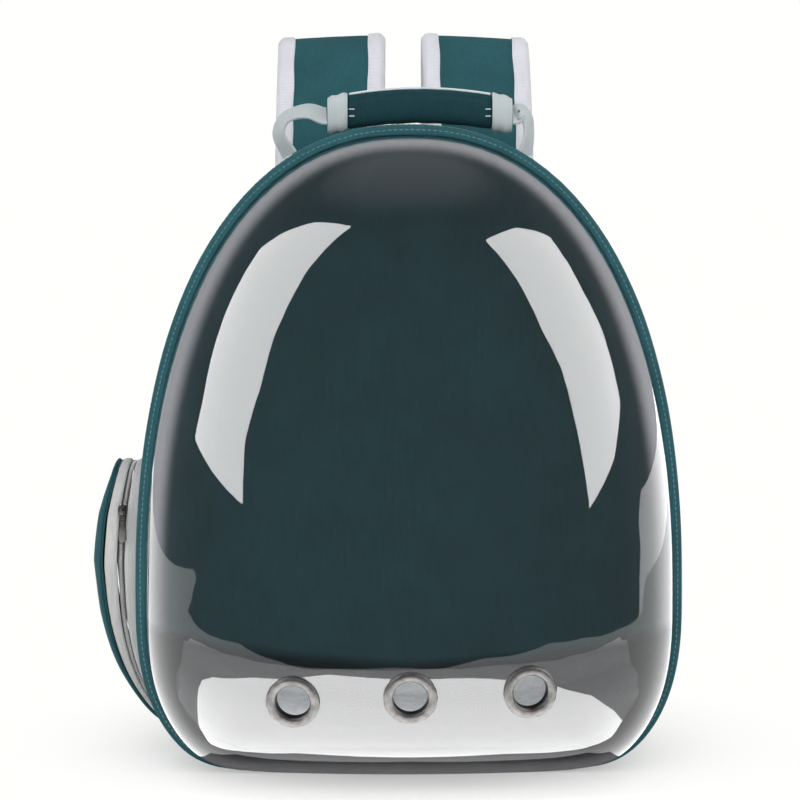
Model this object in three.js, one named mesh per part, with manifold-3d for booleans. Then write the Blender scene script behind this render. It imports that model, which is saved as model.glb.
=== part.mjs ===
// Backpack with a clear bubble front for carrying a small pet.
// Millimetres, +Z up. The front faces -Y. The origin is the middle of the flat underside.

import * as THREE from 'three';
import { mergeVertices } from 'three/addons/utils/BufferGeometryUtils.js';
import Module from 'manifold-3d';

const wasm = await Module();
wasm.setup();

// Clearances
const GAP = 0.3;
const SEAT_GAP = 0.4;

// Body outline, seen from the front
const HALF_WIDTH = 175.5;
const HEIGHT = 416;
const WIDEST_Z = 115.5;
const BASE_HALF_WIDTH = 127;
const UPPER_POWER = 2.28;
const LOWER_POWER = 2.83;
const CORNER_POWER = 22;

// Body depth
const BODY_FRONT = -80;
const BODY_DEPTH = 155;
const FRAME_DEPTH = 21;
const SHELL_WALL = 3.5;
const FRAME_WALL = 3.2;
const BACK_ROUND = 13;

// Lip of the front frame and the dome that it clamps
const LIP_WIDTH = 7.6;
const LIP_THICK = 3;
const LIP_ROUND = 1.6;
const DOME_REACH = 114;
const DOME_WALL = 2;
const DOME_PEAK_Z = 142;
const FLANGE_THICK = 2;
const TOP_POWER = 2.1;
const SIDE_POWER = 2.35;
const BOTTOM_POWER = 3.5;

// Vent eyelets
const EYELET_BORE = 21;
const EYELET_WALL = 1.2;
const EYELET_RING = 33;
const EYELET_THICK = 1.6;
const EYELET_PITCH = 73;
const EYELET_Z = 68;
const EYELET_SEAT = 2.6;
const WASHER_SHARE = 0.88;
const CROWN_SHARE = 0.55;
const VENT_CUT_LENGTH = 40;

// Main zip
const ZIP_WIDTH = 13;
const ZIP_THICK = 1.5;
const SLIDER_LENGTH = 11;
const SLIDER_WIDTH = 8;
const SLIDER_THICK = 3;
const PULL_LENGTH = 18;
const PULL_THICK = 1.6;

// Floor pad
const PAD_THICK = 22;
const PAD_EDGE_RISE = 26;
const PAD_BACK_RISE = 14;
const PAD_SIDE_Z = 40;
const PAD_FRONT_CLEAR = 12;
const PAD_CLEAR = 0.5;
const PAD_SIDE_CLEAR = 1.4;

// Carrying handle
const HANDLE_Y = -16;
const GRIP_CENTRE_X = 8;
const GRIP_LENGTH = 94;
const GRIP_TALL = 23;
const GRIP_THICK = 15;
const GRIP_SAG = 4;
const GRIP_LIFT = 1.2;
const BAND_LENGTH = 13;
const BAND_PROUD = 1.2;
const LOOP_WIDTH = 20;
const LOOP_THICK = 2;
const FOOT_X = 77;

// Shoulder straps
const STRAP_X = 50;
const STRAP_SPLAY = 5;
const STRAP_WIDTH = 75;
const STRAP_THICK = 8;
const STRAP_ROOT_DROP = 72;
const STRAP_CREST_RISE = 64;
const STRAP_OUT = 88;
const STRAP_ROLL = 0.05;
const BINDING_WIDTH = 12;
const BINDING_THICK = 1.1;

// Lower strap ends
const WEBBING_WIDTH = 25;
const WEBBING_THICK = 1.8;
const BUCKLE_WIDTH = 34;
const BUCKLE_TALL = 28;
const BUCKLE_THICK = 5;
const TAB_X = 88;
const TAB_Z = 50;
const TAB_WIDTH = 40;
const TAB_TALL = 34;
const TAB_THICK = 2;

// Back panel
const BACK_PAD_INSET = 40;
const BACK_PAD_THICK = 9;
const BACK_PAD_DROP = 94;
const BACK_PAD_LOW = 82;
const YOKE_TALL = 26;
const YOKE_THICK = 2;
const YOKE_PROUD = 3;

// Side pocket
const POCKET_LOW = 20;
const POCKET_HIGH = 193;
const POCKET_Y = 6;
const POCKET_HALF_DEPTH = 49;
const POCKET_OUT = 26;
const POCKET_WALL = 2;
const POCKET_POWER = 3.2;
const POCKET_FACE_CROWN = 6;
const POCKET_FACE_THICK = 2.5;
const POCKET_ZIP_WIDTH = 5;
const POCKET_ZIP_SINK = 0.6;

// Mesh steps
const TOP_STEPS = 26;
const SIDE_STEPS = 7;
const ZIP_END_STEPS = 4;
const BASE_STEPS = 4;
const DOME_RINGS = 9;
const ROUND_STEPS = 20;
const STRAP_STEPS = 22;
const GRIP_STEPS = 12;
const LOOP_STEPS = 14;
const WEBBING_STEPS = 12;
const PAD_STEPS = 12;
const PANEL_STEPS = 32;
const POCKET_STEPS = 28;

// Values that follow from the sizes above
const BODY_BACK = BODY_FRONT + BODY_DEPTH;
const FRAME_REAR = BODY_FRONT + FRAME_DEPTH;
const SHELL_FRONT = FRAME_REAR + GAP;
const SHELL_DEPTH = BODY_BACK - SHELL_FRONT;
const LOWER_DEPTH = WIDEST_Z / (1 - (BASE_HALF_WIDTH / HALF_WIDTH) ** LOWER_POWER) ** (1 / LOWER_POWER);
const ZIP_SEAT = ZIP_THICK + GAP;
const DOME_FRONT = BODY_FRONT + LIP_THICK + GAP;
const DOME_INSET = LIP_WIDTH + GAP;
const FLANGE_INSET = FRAME_WALL + SEAT_GAP;
const STRAP_ROOT_Z = HEIGHT - STRAP_ROOT_DROP;
const STRAP_CREST_Z = HEIGHT + STRAP_CREST_RISE;
const BACK_PAD_TOP = HEIGHT - BACK_PAD_DROP;

// Materials
const cloth = (name, color) => new THREE.MeshStandardMaterial({ name, color, roughness: 0.85, metalness: 0 });
const GREEN_CLOTH = cloth('green_cloth', 0x24474e);
const GREY_CLOTH = cloth('grey_cloth', 0xc4c6c8);
const PAD_CLOTH = cloth('pad_cloth', 0xb9bcc0);
const ZIP_TAPE = cloth('zip_tape', 0x2c4a4f);
const ZIP_COIL = cloth('zip_coil', 0x55544f);
const MESH_CLOTH = cloth('mesh_cloth', 0x2a3338);
const SMOKY_CLEAR = new THREE.MeshStandardMaterial({
  name: 'smoky_clear', color: 0x6a6f78, roughness: 0.05, metalness: 0, transparent: true, opacity: 0.4,
});
const PEWTER = new THREE.MeshStandardMaterial({ name: 'pewter', color: 0x8a8a8a, roughness: 0.35, metalness: 0.9 });
const DARK_PLASTIC = new THREE.MeshStandardMaterial({
  name: 'dark_plastic', color: 0x22282b, roughness: 0.5, metalness: 0,
});

const part = new THREE.Group();

function addPiece(name, geometry, material) {
  const mesh = new THREE.Mesh(geometry, material);
  mesh.name = name;
  part.add(mesh);
  return mesh;
}

function range(count) {
  return Array.from({ length: count }, (_, i) => i);
}

function lerp(a, b, share) {
  return a + (b - a) * share;
}

// Bodies through rings of points

function signedVolume(points, faces) {
  let total = 0;
  for (const [a, b, c] of faces) {
    total += points[a].dot(points[b].clone().cross(points[c])) / 6;
  }
  return total;
}

function bodyFrom(points, faces) {
  const turned = signedVolume(points, faces) < 0;
  const index = faces.flatMap(([a, b, c]) => (turned ? [a, c, b] : [a, b, c]));
  const geometry = new THREE.BufferGeometry();
  geometry.setAttribute('position', new THREE.Float32BufferAttribute(points.flatMap((p) => [p.x, p.y, p.z]), 3));
  geometry.setIndex(index);
  geometry.computeVertexNormals();
  return geometry;
}

function ringFaces(rings, closed) {
  const size = rings[0].length;
  const faces = [];
  const last = closed ? rings.length : rings.length - 1;
  for (let r = 0; r < last; r += 1) {
    const here = r * size;
    const next = ((r + 1) % rings.length) * size;
    for (let k = 0; k < size; k += 1) {
      const k2 = (k + 1) % size;
      faces.push([here + k, here + k2, next + k2], [here + k, next + k2, next + k]);
    }
  }
  return faces;
}

// A body whose first and last rings are closed by a fan about their middle
function loft(rings) {
  const size = rings[0].length;
  const points = rings.flat();
  const faces = ringFaces(rings, false);
  const middleOf = (ring) => ring.reduce((sum, p) => sum.add(p), new THREE.Vector3()).divideScalar(size);
  const first = points.push(middleOf(rings[0])) - 1;
  const last = points.push(middleOf(rings.at(-1))) - 1;
  const lastStart = (rings.length - 1) * size;
  for (let k = 0; k < size; k += 1) {
    const k2 = (k + 1) % size;
    faces.push([first, k2, k], [last, lastStart + k, lastStart + k2]);
  }
  return bodyFrom(points, faces);
}

// Triangles that close a flat ring, which may be hollowed on one side
function flatCap(ring) {
  const normal = new THREE.Vector3();
  ring.forEach((p, k) => normal.add(p.clone().cross(ring[(k + 1) % ring.length])));
  const across = ring[1].clone().sub(ring[0]).normalize();
  const up = normal.clone().cross(across).normalize();
  return THREE.ShapeUtils.triangulateShape(ring.map((p) => new THREE.Vector2(p.dot(across), p.dot(up))), []);
}

// A body with a hollowed section, closed by flat ends
function hollowedLoft(rings) {
  const size = rings[0].length;
  const lastStart = (rings.length - 1) * size;
  const first = flatCap(rings[0]).map(([a, b, c]) => [a, c, b]);
  const last = flatCap(rings.at(-1)).map((corners) => corners.map((k) => lastStart + k));
  const sides = ringFaces(rings, false);
  return bodyFrom(rings.flat(), [...sides, ...first, ...last]);
}

// A body whose last ring joins its first, such as a hoop
function hoop(rings) {
  return bodyFrom(rings.flat(), ringFaces(rings, true));
}

// A strip swept through stations, with a section of [across, up] pairs
function stripRings(stations, sectionAt) {
  return stations.map((station, i) => sectionAt(station, i).map(([across, up]) => (
    station.centre.clone().addScaledVector(station.across, across).addScaledVector(station.up, up)
  )));
}

function strip(stations, sectionAt) {
  return loft(stripRings(stations, sectionAt));
}

// Stations along a smooth curve, each with its own cross direction
function stationsOn(curve, steps, crossAt) {
  return range(steps + 1).map((i) => {
    const share = i / steps;
    const along = curve.getTangentAt(share);
    const across = crossAt(share, along);
    across.addScaledVector(along, -across.dot(along)).normalize();
    return { share, centre: curve.getPointAt(share), across, up: across.clone().cross(along).normalize() };
  });
}

function plateSection(width, thick) {
  return [[-width / 2, -thick / 2], [width / 2, -thick / 2], [width / 2, thick / 2], [-width / 2, thick / 2]];
}

// A flat plate with its long edges eased
function easedSection(width, thick) {
  const w = width / 2;
  const t = thick / 2;
  const ease = t * 0.6;
  return [
    [-w + ease, -t], [w - ease, -t], [w, -t + ease], [w, t - ease],
    [w - ease, t], [-w + ease, t], [-w, t - ease], [-w, -t + ease],
  ];
}

// Solids for cutting
function solidOf(geometry) {
  const plain = new THREE.BufferGeometry();
  plain.setAttribute('position', geometry.getAttribute('position'));
  plain.setIndex(geometry.getIndex());
  const merged = mergeVertices(plain);
  return new wasm.Manifold(new wasm.Mesh({
    numProp: 3,
    vertProperties: new Float32Array(merged.getAttribute('position').array),
    triVerts: new Uint32Array(merged.getIndex().array),
  }));
}

function geometryOf(solid) {
  const mesh = solid.getMesh();
  const geometry = new THREE.BufferGeometry();
  geometry.setAttribute('position', new THREE.BufferAttribute(new Float32Array(mesh.vertProperties), 3));
  geometry.setIndex(new THREE.BufferAttribute(new Uint32Array(mesh.triVerts), 1));
  geometry.computeVertexNormals();
  return geometry;
}

// Outline of the body

// Half width of the outline at a height above the floor
function halfWidthAt(z, inset = 0) {
  const upper = z > WIDEST_Z;
  const reach = (upper ? HEIGHT - WIDEST_Z : LOWER_DEPTH) - inset;
  const power = upper ? UPPER_POWER : LOWER_POWER;
  const share = Math.min(1, Math.abs(z - WIDEST_Z) / reach);
  return (HALF_WIDTH - inset) * (1 - share ** power) ** (1 / power);
}

// Height of the upper outline at a distance from the middle
function topAt(x, inset = 0) {
  const share = Math.min(1, Math.abs(x) / (HALF_WIDTH - inset));
  return WIDEST_Z + (HEIGHT - WIDEST_Z - inset) * (1 - share ** UPPER_POWER) ** (1 / UPPER_POWER);
}

// Height of the lower outline at a distance from the middle, no lower than the floor
function bottomAt(x, inset, floor = inset) {
  const share = Math.min(1, Math.abs(x) / (HALF_WIDTH - inset));
  const depth = (LOWER_DEPTH - inset) * (1 - share ** LOWER_POWER) ** (1 / LOWER_POWER);
  return Math.max(floor, WIDEST_Z - depth);
}

function outlineAngles(inset, lift) {
  const corner = Math.atan2(WIDEST_Z - lift, halfWidthAt(lift, inset));
  const angles = range(TOP_STEPS).map((i) => (Math.PI * i) / TOP_STEPS);
  angles.push(...range(SIDE_STEPS).map((i) => Math.PI + (corner * i) / SIDE_STEPS));
  angles.push(...range(BASE_STEPS).map((i) => Math.PI + corner + ((Math.PI - 2 * corner) * i) / BASE_STEPS));
  angles.push(...range(SIDE_STEPS).map((i) => 2 * Math.PI - corner + (corner * i) / SIDE_STEPS));
  return angles;
}

// Distance from the widest height to the outline, in one direction
function outlineRadius(angle, inset, lift, corner) {
  const side = Math.cos(angle);
  const rise = Math.sin(angle);
  const power = rise >= 0 ? UPPER_POWER : LOWER_POWER;
  const reach = (rise >= 0 ? HEIGHT - WIDEST_Z : LOWER_DEPTH) - inset;
  const curve = (Math.abs(side / (HALF_WIDTH - inset)) ** power + Math.abs(rise / reach) ** power) ** (-1 / power);
  if (rise >= 0) {
    return curve;
  }
  const floor = (WIDEST_Z - lift) / -rise;
  if (corner === 'sharp') {
    return Math.min(curve, floor);
  }
  return (curve ** -CORNER_POWER + floor ** -CORNER_POWER) ** (-1 / CORNER_POWER);
}

// One ring of the body: its outline drawn in by inset, with its underside at lift
function outlineRing(y, inset, lift = inset, corner = 'sharp') {
  return outlineAngles(inset, lift).map((angle) => {
    const radius = outlineRadius(angle, inset, lift, corner);
    return new THREE.Vector3(radius * Math.cos(angle), y, WIDEST_Z + radius * Math.sin(angle));
  });
}

// Sections of the shell from its front edge back, drawn in by shares of BACK_ROUND
const SHELL_SECTIONS = [
  { along: 0.16, inset: 0.02, lift: 0 },
  { along: 0.45, inset: 0, lift: 0 },
  { along: 0.78, inset: 0.06, lift: 0 },
  { along: 0.9, inset: 0.2, lift: 0 },
  { along: 0.965, inset: 0.5, lift: 0.25 },
  { along: 1, inset: 1, lift: 0.9 },
];
const HOLLOW_DEPTH = SHELL_DEPTH - SHELL_WALL;

function makeShell() {
  const zipRear = SHELL_FRONT + ZIP_WIDTH / 2 + GAP;
  const outer = [outlineRing(SHELL_FRONT, ZIP_SEAT, 0), outlineRing(zipRear, ZIP_SEAT, 0)];
  for (const row of SHELL_SECTIONS) {
    outer.push(outlineRing(SHELL_FRONT + row.along * SHELL_DEPTH, row.inset * BACK_ROUND, row.lift * BACK_ROUND));
  }
  const inner = SHELL_SECTIONS.slice(1).map((row) => (
    outlineRing(SHELL_FRONT + row.along * HOLLOW_DEPTH, row.inset * BACK_ROUND + SHELL_WALL)
  ));
  return loft([...outer.reverse(), outlineRing(SHELL_FRONT, ZIP_SEAT + SHELL_WALL, SHELL_WALL), ...inner]);
}

// How far the shell's hollow is drawn in from the outline at a depth
function hollowInset(y) {
  const along = (y - SHELL_FRONT) / HOLLOW_DEPTH;
  const next = SHELL_SECTIONS.findIndex((row) => row.along >= along);
  if (next < 1) {
    return SHELL_WALL + ZIP_SEAT;
  }
  const low = SHELL_SECTIONS[next - 1];
  const high = SHELL_SECTIONS[next];
  return SHELL_WALL + BACK_ROUND * lerp(low.inset, high.inset, (along - low.along) / (high.along - low.along));
}

// Front frame, an L-shaped ring whose lip laps the dome's flange
function makeFrontFrame() {
  const zipFront = FRAME_REAR - ZIP_WIDTH / 2 - GAP;
  const lipRear = BODY_FRONT + LIP_THICK;
  return hoop([
    outlineRing(FRAME_REAR, ZIP_SEAT, 0),
    outlineRing(zipFront, ZIP_SEAT, 0),
    outlineRing(zipFront - ZIP_THICK, 0, 0),
    outlineRing(BODY_FRONT + LIP_ROUND, 0, 0),
    outlineRing(BODY_FRONT, LIP_ROUND),
    outlineRing(BODY_FRONT, LIP_WIDTH - LIP_ROUND / 2, LIP_WIDTH - LIP_ROUND / 2, 'round'),
    outlineRing(BODY_FRONT + LIP_ROUND / 2, LIP_WIDTH, LIP_WIDTH, 'round'),
    outlineRing(lipRear, LIP_WIDTH, LIP_WIDTH, 'round'),
    outlineRing(lipRear, FRAME_WALL),
    outlineRing(FRAME_REAR, FRAME_WALL),
  ]);
}

// Dome

// The dome is blunt towards the floor and slopes off towards the top
function domePower(rise) {
  return SIDE_POWER + ((rise > 0 ? TOP_POWER : BOTTOM_POWER) - SIDE_POWER) * rise * rise;
}

function domePoint(rim, turn, reach) {
  const side = rim.x;
  const up = rim.z - DOME_PEAK_Z;
  const power = domePower(up / Math.hypot(side, up));
  const spread = Math.cos(turn) ** (2 / power);
  const depth = Math.sin(turn) ** (2 / power);
  return new THREE.Vector3(side * spread, DOME_FRONT - reach * depth, DOME_PEAK_Z + up * spread);
}

function domeRings(inset, reach) {
  const rim = outlineRing(DOME_FRONT, inset, inset, 'round');
  return range(DOME_RINGS + 1).map((i) => {
    const turn = (Math.PI / 2) * (i / (DOME_RINGS + 0.55));
    return rim.map((p) => domePoint(p, turn, reach));
  });
}

// Depth of the dome's outer surface in front of its rim, above a point of the front plane
function domeDepthAt(x, z) {
  const up = z - DOME_PEAK_Z;
  const rise = up / Math.max(1e-6, Math.hypot(x, up));
  const angle = Math.atan2(up, x);
  const power = domePower(rise);
  let near = 0;
  let far = HEIGHT;
  for (let step = 0; step < 40; step += 1) {
    const radius = (near + far) / 2;
    const px = radius * Math.cos(angle);
    const pz = DOME_PEAK_Z + radius * Math.sin(angle) - WIDEST_Z;
    const inside = Math.hypot(px, pz) < outlineRadius(Math.atan2(pz, px), DOME_INSET, DOME_INSET, 'round');
    near = inside ? radius : near;
    far = inside ? far : radius;
  }
  const share = Math.min(1, Math.hypot(x, up) / near);
  return DOME_REACH * (1 - share ** power) ** (1 / power);
}

// Place and direction of each eyelet, set by hand a little out of level on the real one
function eyeletSeats() {
  const rows = [
    { name: 'left', across: -1, rise: -2.5 },
    { name: 'centre', across: -0.02, rise: 0.5 },
    { name: 'right', across: 0.98, rise: 3.5 },
  ];
  const step = 1;
  return rows.map((row) => {
    const x = row.across * EYELET_PITCH;
    const z = EYELET_Z + row.rise;
    const slopeX = (domeDepthAt(x + step, z) - domeDepthAt(x - step, z)) / (2 * step);
    const slopeZ = (domeDepthAt(x, z + step) - domeDepthAt(x, z - step)) / (2 * step);
    return {
      name: row.name,
      centre: new THREE.Vector3(x, DOME_FRONT - domeDepthAt(x, z), z),
      outward: new THREE.Vector3(-slopeX, -1, -slopeZ).normalize(),
    };
  });
}

function aimed(geometry, seat) {
  const turn = new THREE.Quaternion().setFromUnitVectors(new THREE.Vector3(0, 1, 0), seat.outward);
  geometry.applyQuaternion(turn);
  geometry.translate(seat.centre.x, seat.centre.y, seat.centre.z);
  return geometry;
}

function lathe(profile, steps) {
  const points = profile.map(([radius, high]) => new THREE.Vector2(radius, high));
  const turned = new THREE.LatheGeometry([...points, points[0].clone()], steps);
  turned.deleteAttribute('normal');
  turned.deleteAttribute('uv');
  const merged = mergeVertices(turned, 1e-4);
  const position = merged.getAttribute('position');
  const corners = range(position.count).map((i) => new THREE.Vector3().fromBufferAttribute(position, i));
  const index = merged.getIndex().array;
  const faces = range(index.length / 3).map((i) => [index[3 * i], index[3 * i + 1], index[3 * i + 2]]);
  return bodyFrom(corners, faces.filter(([a, b, c]) => a !== b && b !== c && a !== c));
}

function makeDome(seats) {
  const outer = domeRings(DOME_INSET, DOME_REACH).reverse();
  const inner = domeRings(DOME_INSET + DOME_WALL, DOME_REACH - DOME_WALL);
  const flangeRear = DOME_FRONT + FLANGE_THICK;
  const body = loft([
    ...outer,
    outlineRing(DOME_FRONT, FLANGE_INSET),
    outlineRing(flangeRear, FLANGE_INSET),
    outlineRing(flangeRear, DOME_INSET + DOME_WALL, DOME_INSET + DOME_WALL, 'round'),
    ...inner,
  ]);
  let solid = solidOf(body);
  const holeRadius = EYELET_BORE / 2 + EYELET_WALL + GAP;
  for (const seat of seats) {
    const cutter = new THREE.CylinderGeometry(holeRadius, holeRadius, VENT_CUT_LENGTH, ROUND_STEPS);
    cutter.deleteAttribute('normal');
    cutter.deleteAttribute('uv');
    solid = solid.subtract(solidOf(aimed(mergeVertices(cutter, 1e-4), seat)));
  }
  return geometryOf(solid);
}

// A rolled grommet: ring outside, barrel through the wall, washer inside
function makeEyelet(seat) {
  const bore = EYELET_BORE / 2;
  const barrel = bore + EYELET_WALL;
  const ring = EYELET_RING / 2;
  const front = GAP + EYELET_THICK;
  const washerFront = -DOME_WALL - EYELET_SEAT;
  const washerRear = washerFront - EYELET_THICK / 2;
  return aimed(lathe([
    [bore, washerRear],
    [ring * WASHER_SHARE, washerRear],
    [ring * WASHER_SHARE, washerFront],
    [barrel, washerFront],
    [barrel, GAP],
    [ring, GAP],
    [ring, GAP + EYELET_THICK / 2],
    [lerp(bore, ring, CROWN_SHARE), front],
    [bore, GAP + EYELET_THICK / 2],
  ], ROUND_STEPS), seat);
}

// Zip

// Directions of the zip's path, over the top from one lower side to the other, in step with the shell's
function zipAngles() {
  const corner = Math.atan2(WIDEST_Z, halfWidthAt(0, ZIP_SEAT));
  const sideStep = corner / SIDE_STEPS;
  const ends = range(ZIP_END_STEPS).map((i) => (i + 1) * sideStep);
  const top = range(TOP_STEPS + 1).map((i) => (Math.PI * i) / TOP_STEPS);
  return [...ends.map((angle) => -angle).reverse(), ...top, ...ends.map((angle) => Math.PI + angle)];
}

function makeMainZip() {
  const middle = (FRAME_REAR + SHELL_FRONT) / 2;
  const corner = (angle, y, inset) => {
    const radius = outlineRadius(angle, inset, 0, 'sharp');
    return new THREE.Vector3(radius * Math.cos(angle), y, WIDEST_Z + radius * Math.sin(angle));
  };
  return loft(zipAngles().map((angle) => [
    corner(angle, middle - ZIP_WIDTH / 2, ZIP_THICK),
    corner(angle, middle + ZIP_WIDTH / 2, ZIP_THICK),
    corner(angle, middle + ZIP_WIDTH / 2, ZIP_THICK * 0.3),
    corner(angle, middle + ZIP_WIDTH / 6, 0),
    corner(angle, middle - ZIP_WIDTH / 6, 0),
    corner(angle, middle - ZIP_WIDTH / 2, ZIP_THICK * 0.3),
  ]));
}

// Slider body with its pull lying along the zip, on one side of the middle
function makeMainSlider(side) {
  const middle = (FRAME_REAR + SHELL_FRONT) / 2;
  const start = 1.5;
  const rows = [
    { along: start, width: 0.8, thick: 1 },
    { along: start + SLIDER_LENGTH * 0.5, width: 1, thick: 1 },
    { along: start + SLIDER_LENGTH, width: 0.7, thick: 0.8 },
    { along: start + SLIDER_LENGTH + 1, width: 0.6, thick: PULL_THICK / SLIDER_THICK },
    { along: start + SLIDER_LENGTH + PULL_LENGTH, width: 0.75, thick: PULL_THICK / SLIDER_THICK },
    { along: start + SLIDER_LENGTH + PULL_LENGTH + 2, width: 0.4, thick: PULL_THICK / SLIDER_THICK },
  ];
  return loft(rows.map((row) => {
    const x = side * row.along;
    const low = topAt(x) + SEAT_GAP;
    const high = low + SLIDER_THICK * row.thick;
    const half = (SLIDER_WIDTH * row.width) / 2;
    return [
      new THREE.Vector3(x, middle - half, low),
      new THREE.Vector3(x, middle + half, low),
      new THREE.Vector3(x, middle + half * 0.8, high),
      new THREE.Vector3(x, middle - half * 0.8, high),
    ];
  }));
}

// Floor pad, a soft tray that turns up at its sides and at the back
function makeFloorPad() {
  const front = SHELL_FRONT + PAD_FRONT_CLEAR;
  const back = BODY_BACK - SHELL_WALL - PAD_CLEAR;
  const rows = [
    { along: 0, edge: 0.35 },
    { along: 0.06, edge: 0.8 },
    { along: 0.25, edge: 1 },
    { along: 0.6, edge: 1 },
    { along: 0.86, edge: 1 },
    { along: 0.96, edge: 0.9 },
    { along: 1, edge: 0.6 },
  ];
  const across = range(PAD_STEPS + 1).map((i) => Math.sin(Math.PI * (i / PAD_STEPS - 0.5)));
  return hollowedLoft(rows.map((row) => {
    const y = lerp(front, back, row.along);
    const floor = hollowInset(y) + PAD_CLEAR;
    const inset = hollowInset(y) + PAD_SIDE_CLEAR;
    const halfWidth = halfWidthAt(PAD_SIDE_Z, inset);
    const backRise = PAD_BACK_RISE * Math.max(0, row.along - 0.5) * 2;
    const low = across.map((share) => (
      new THREE.Vector3(share * halfWidth, y, bottomAt(share * halfWidth, inset, floor))
    ));
    const high = across.map((share, i) => {
      const rise = (PAD_EDGE_RISE + backRise) * share ** 4 + backRise * (1 - share ** 4);
      const top = floor + (PAD_THICK + rise) * row.edge;
      return new THREE.Vector3(low[i].x, y, Math.max(top, low[i].z + PAD_THICK * 0.3));
    });
    return [...low, ...high.reverse()];
  }));
}

// Handle

// Height of the middle of the grip, which follows the top of the body
function gripMiddle(x) {
  const share = (x - GRIP_CENTRE_X) / (GRIP_LENGTH / 2);
  return HEIGHT + GRIP_LIFT + GRIP_TALL / 2 - GRIP_SAG * share * share;
}

function gripRing(x, proud, scale) {
  const tall = (GRIP_TALL / 2) * scale + proud;
  const thick = (GRIP_THICK / 2) * scale + proud;
  const power = 2 / 2.8;
  return range(GRIP_STEPS).map((i) => {
    const angle = (2 * Math.PI * i) / GRIP_STEPS;
    const c = Math.cos(angle);
    const s = Math.sin(angle);
    return new THREE.Vector3(
      x,
      HANDLE_Y + thick * Math.sign(c) * Math.abs(c) ** power,
      gripMiddle(x) + tall * Math.sign(s) * Math.abs(s) ** power,
    );
  });
}

function makeGrip() {
  const rows = [
    { along: -1, scale: 0.93 },
    { along: -0.94, scale: 1 },
    { along: -0.5, scale: 1 },
    { along: 0, scale: 1 },
    { along: 0.5, scale: 1 },
    { along: 0.94, scale: 1 },
    { along: 1, scale: 0.93 },
  ];
  return loft(rows.map((row) => gripRing(GRIP_CENTRE_X + (row.along * GRIP_LENGTH) / 2, 0, row.scale)));
}

function makeGripBand(side) {
  const start = GRIP_CENTRE_X + side * (GRIP_LENGTH / 2 + GAP);
  const rows = [
    { along: 0, scale: 0.97 },
    { along: 0.15, scale: 1 },
    { along: 0.8, scale: 0.97 },
    { along: 1, scale: 0.9 },
  ];
  return loft(rows.map((row) => {
    const x = start + side * BAND_LENGTH * row.along;
    return gripRing(x, Math.min(BAND_PROUD, GRIP_LIFT - GAP) * row.scale, row.scale);
  }));
}

// Webbing loop from the end of the grip down to its foot on the body
function makeHandleWebbing(side) {
  const start = GRIP_CENTRE_X + side * (GRIP_LENGTH / 2 + BAND_LENGTH + 3 * GAP);
  const startZ = gripMiddle(start);
  const foot = side * FOOT_X;
  const footZ = topAt(foot) + SEAT_GAP + LOOP_THICK * 0.6;
  const rows = [
    { along: 0, high: 1, twist: 0.55 },
    { along: 0.5, high: 1.12, twist: 0.5 },
    { along: 1.12, high: 0.95, twist: 0.4 },
    { along: 1.3, high: 0.55, twist: 0.35 },
    { along: 1, high: 0, twist: 0.25 },
  ];
  const points = rows.map((row) => (
    new THREE.Vector3(lerp(start, foot, row.along), HANDLE_Y, lerp(footZ, startZ, row.high))
  ));
  const level = new THREE.Vector3(start + side * LOOP_THICK, HANDLE_Y, startZ);
  const curve = new THREE.CatmullRomCurve3([points[0], level, ...points.slice(1)]);
  const twist = (share) => {
    const place = share * (rows.length - 1);
    const low = Math.min(rows.length - 2, Math.floor(place));
    return lerp(rows[low].twist, rows[low + 1].twist, place - low);
  };
  const stations = stationsOn(curve, LOOP_STEPS, (share, along) => {
    const cross = new THREE.Vector3(0, 1, 0);
    return cross.applyAxisAngle(along, side * twist(share));
  });
  return strip(stations, () => plateSection(LOOP_WIDTH, LOOP_THICK));
}

// Shoulder straps

// Path of a strap: out is a share of STRAP_OUT, up a share of the climb from root to crest
const STRAP_PATH = [
  { out: 0, up: 0, width: 1 },
  { out: 0, up: 0.14, width: 1 },
  { out: 0.07, up: 0.4, width: 1 },
  { out: 0.22, up: 0.7, width: 1 },
  { out: 0.4, up: 0.91, width: 1 },
  { out: 0.6, up: 1, width: 1 },
  { out: 0.8, up: 0.9, width: 1 },
  { out: 0.95, up: 0.6, width: 0.99 },
  { out: 1, up: 0.15, width: 0.96 },
  { out: 0.97, up: -0.35, width: 0.92 },
  { out: 0.88, up: -0.8, width: 0.88 },
  { out: 0.76, up: -1.15, width: 0.84 },
];

const STRAP_FACE = BODY_BACK + SEAT_GAP + STRAP_THICK / 2 + BINDING_THICK + GAP;
const STRAP_CLIMB = STRAP_CREST_Z - STRAP_ROOT_Z - STRAP_THICK / 2 - BINDING_THICK - GAP;

function strapPoint(side, row) {
  return new THREE.Vector3(
    side * (STRAP_X + STRAP_SPLAY * (1 - row.up) * 0.5),
    STRAP_FACE + row.out * STRAP_OUT,
    STRAP_ROOT_Z + row.up * STRAP_CLIMB,
  );
}

function strapStations(side) {
  const curve = new THREE.CatmullRomCurve3(STRAP_PATH.map((row) => strapPoint(side, row)));
  const places = stationsOn(curve, STRAP_STEPS, () => new THREE.Vector3(1, 0, -side * STRAP_ROLL));
  return places.map((station) => {
    const place = station.share * (STRAP_PATH.length - 1);
    const low = Math.min(STRAP_PATH.length - 2, Math.floor(place));
    const width = lerp(STRAP_PATH[low].width, STRAP_PATH[low + 1].width, place - low) * STRAP_WIDTH;
    return { ...station, width };
  });
}

function makeStrap(side) {
  const covered = BINDING_THICK + GAP;
  return strip(strapStations(side), (station) => easedSection(station.width - 2 * covered, STRAP_THICK));
}

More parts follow.
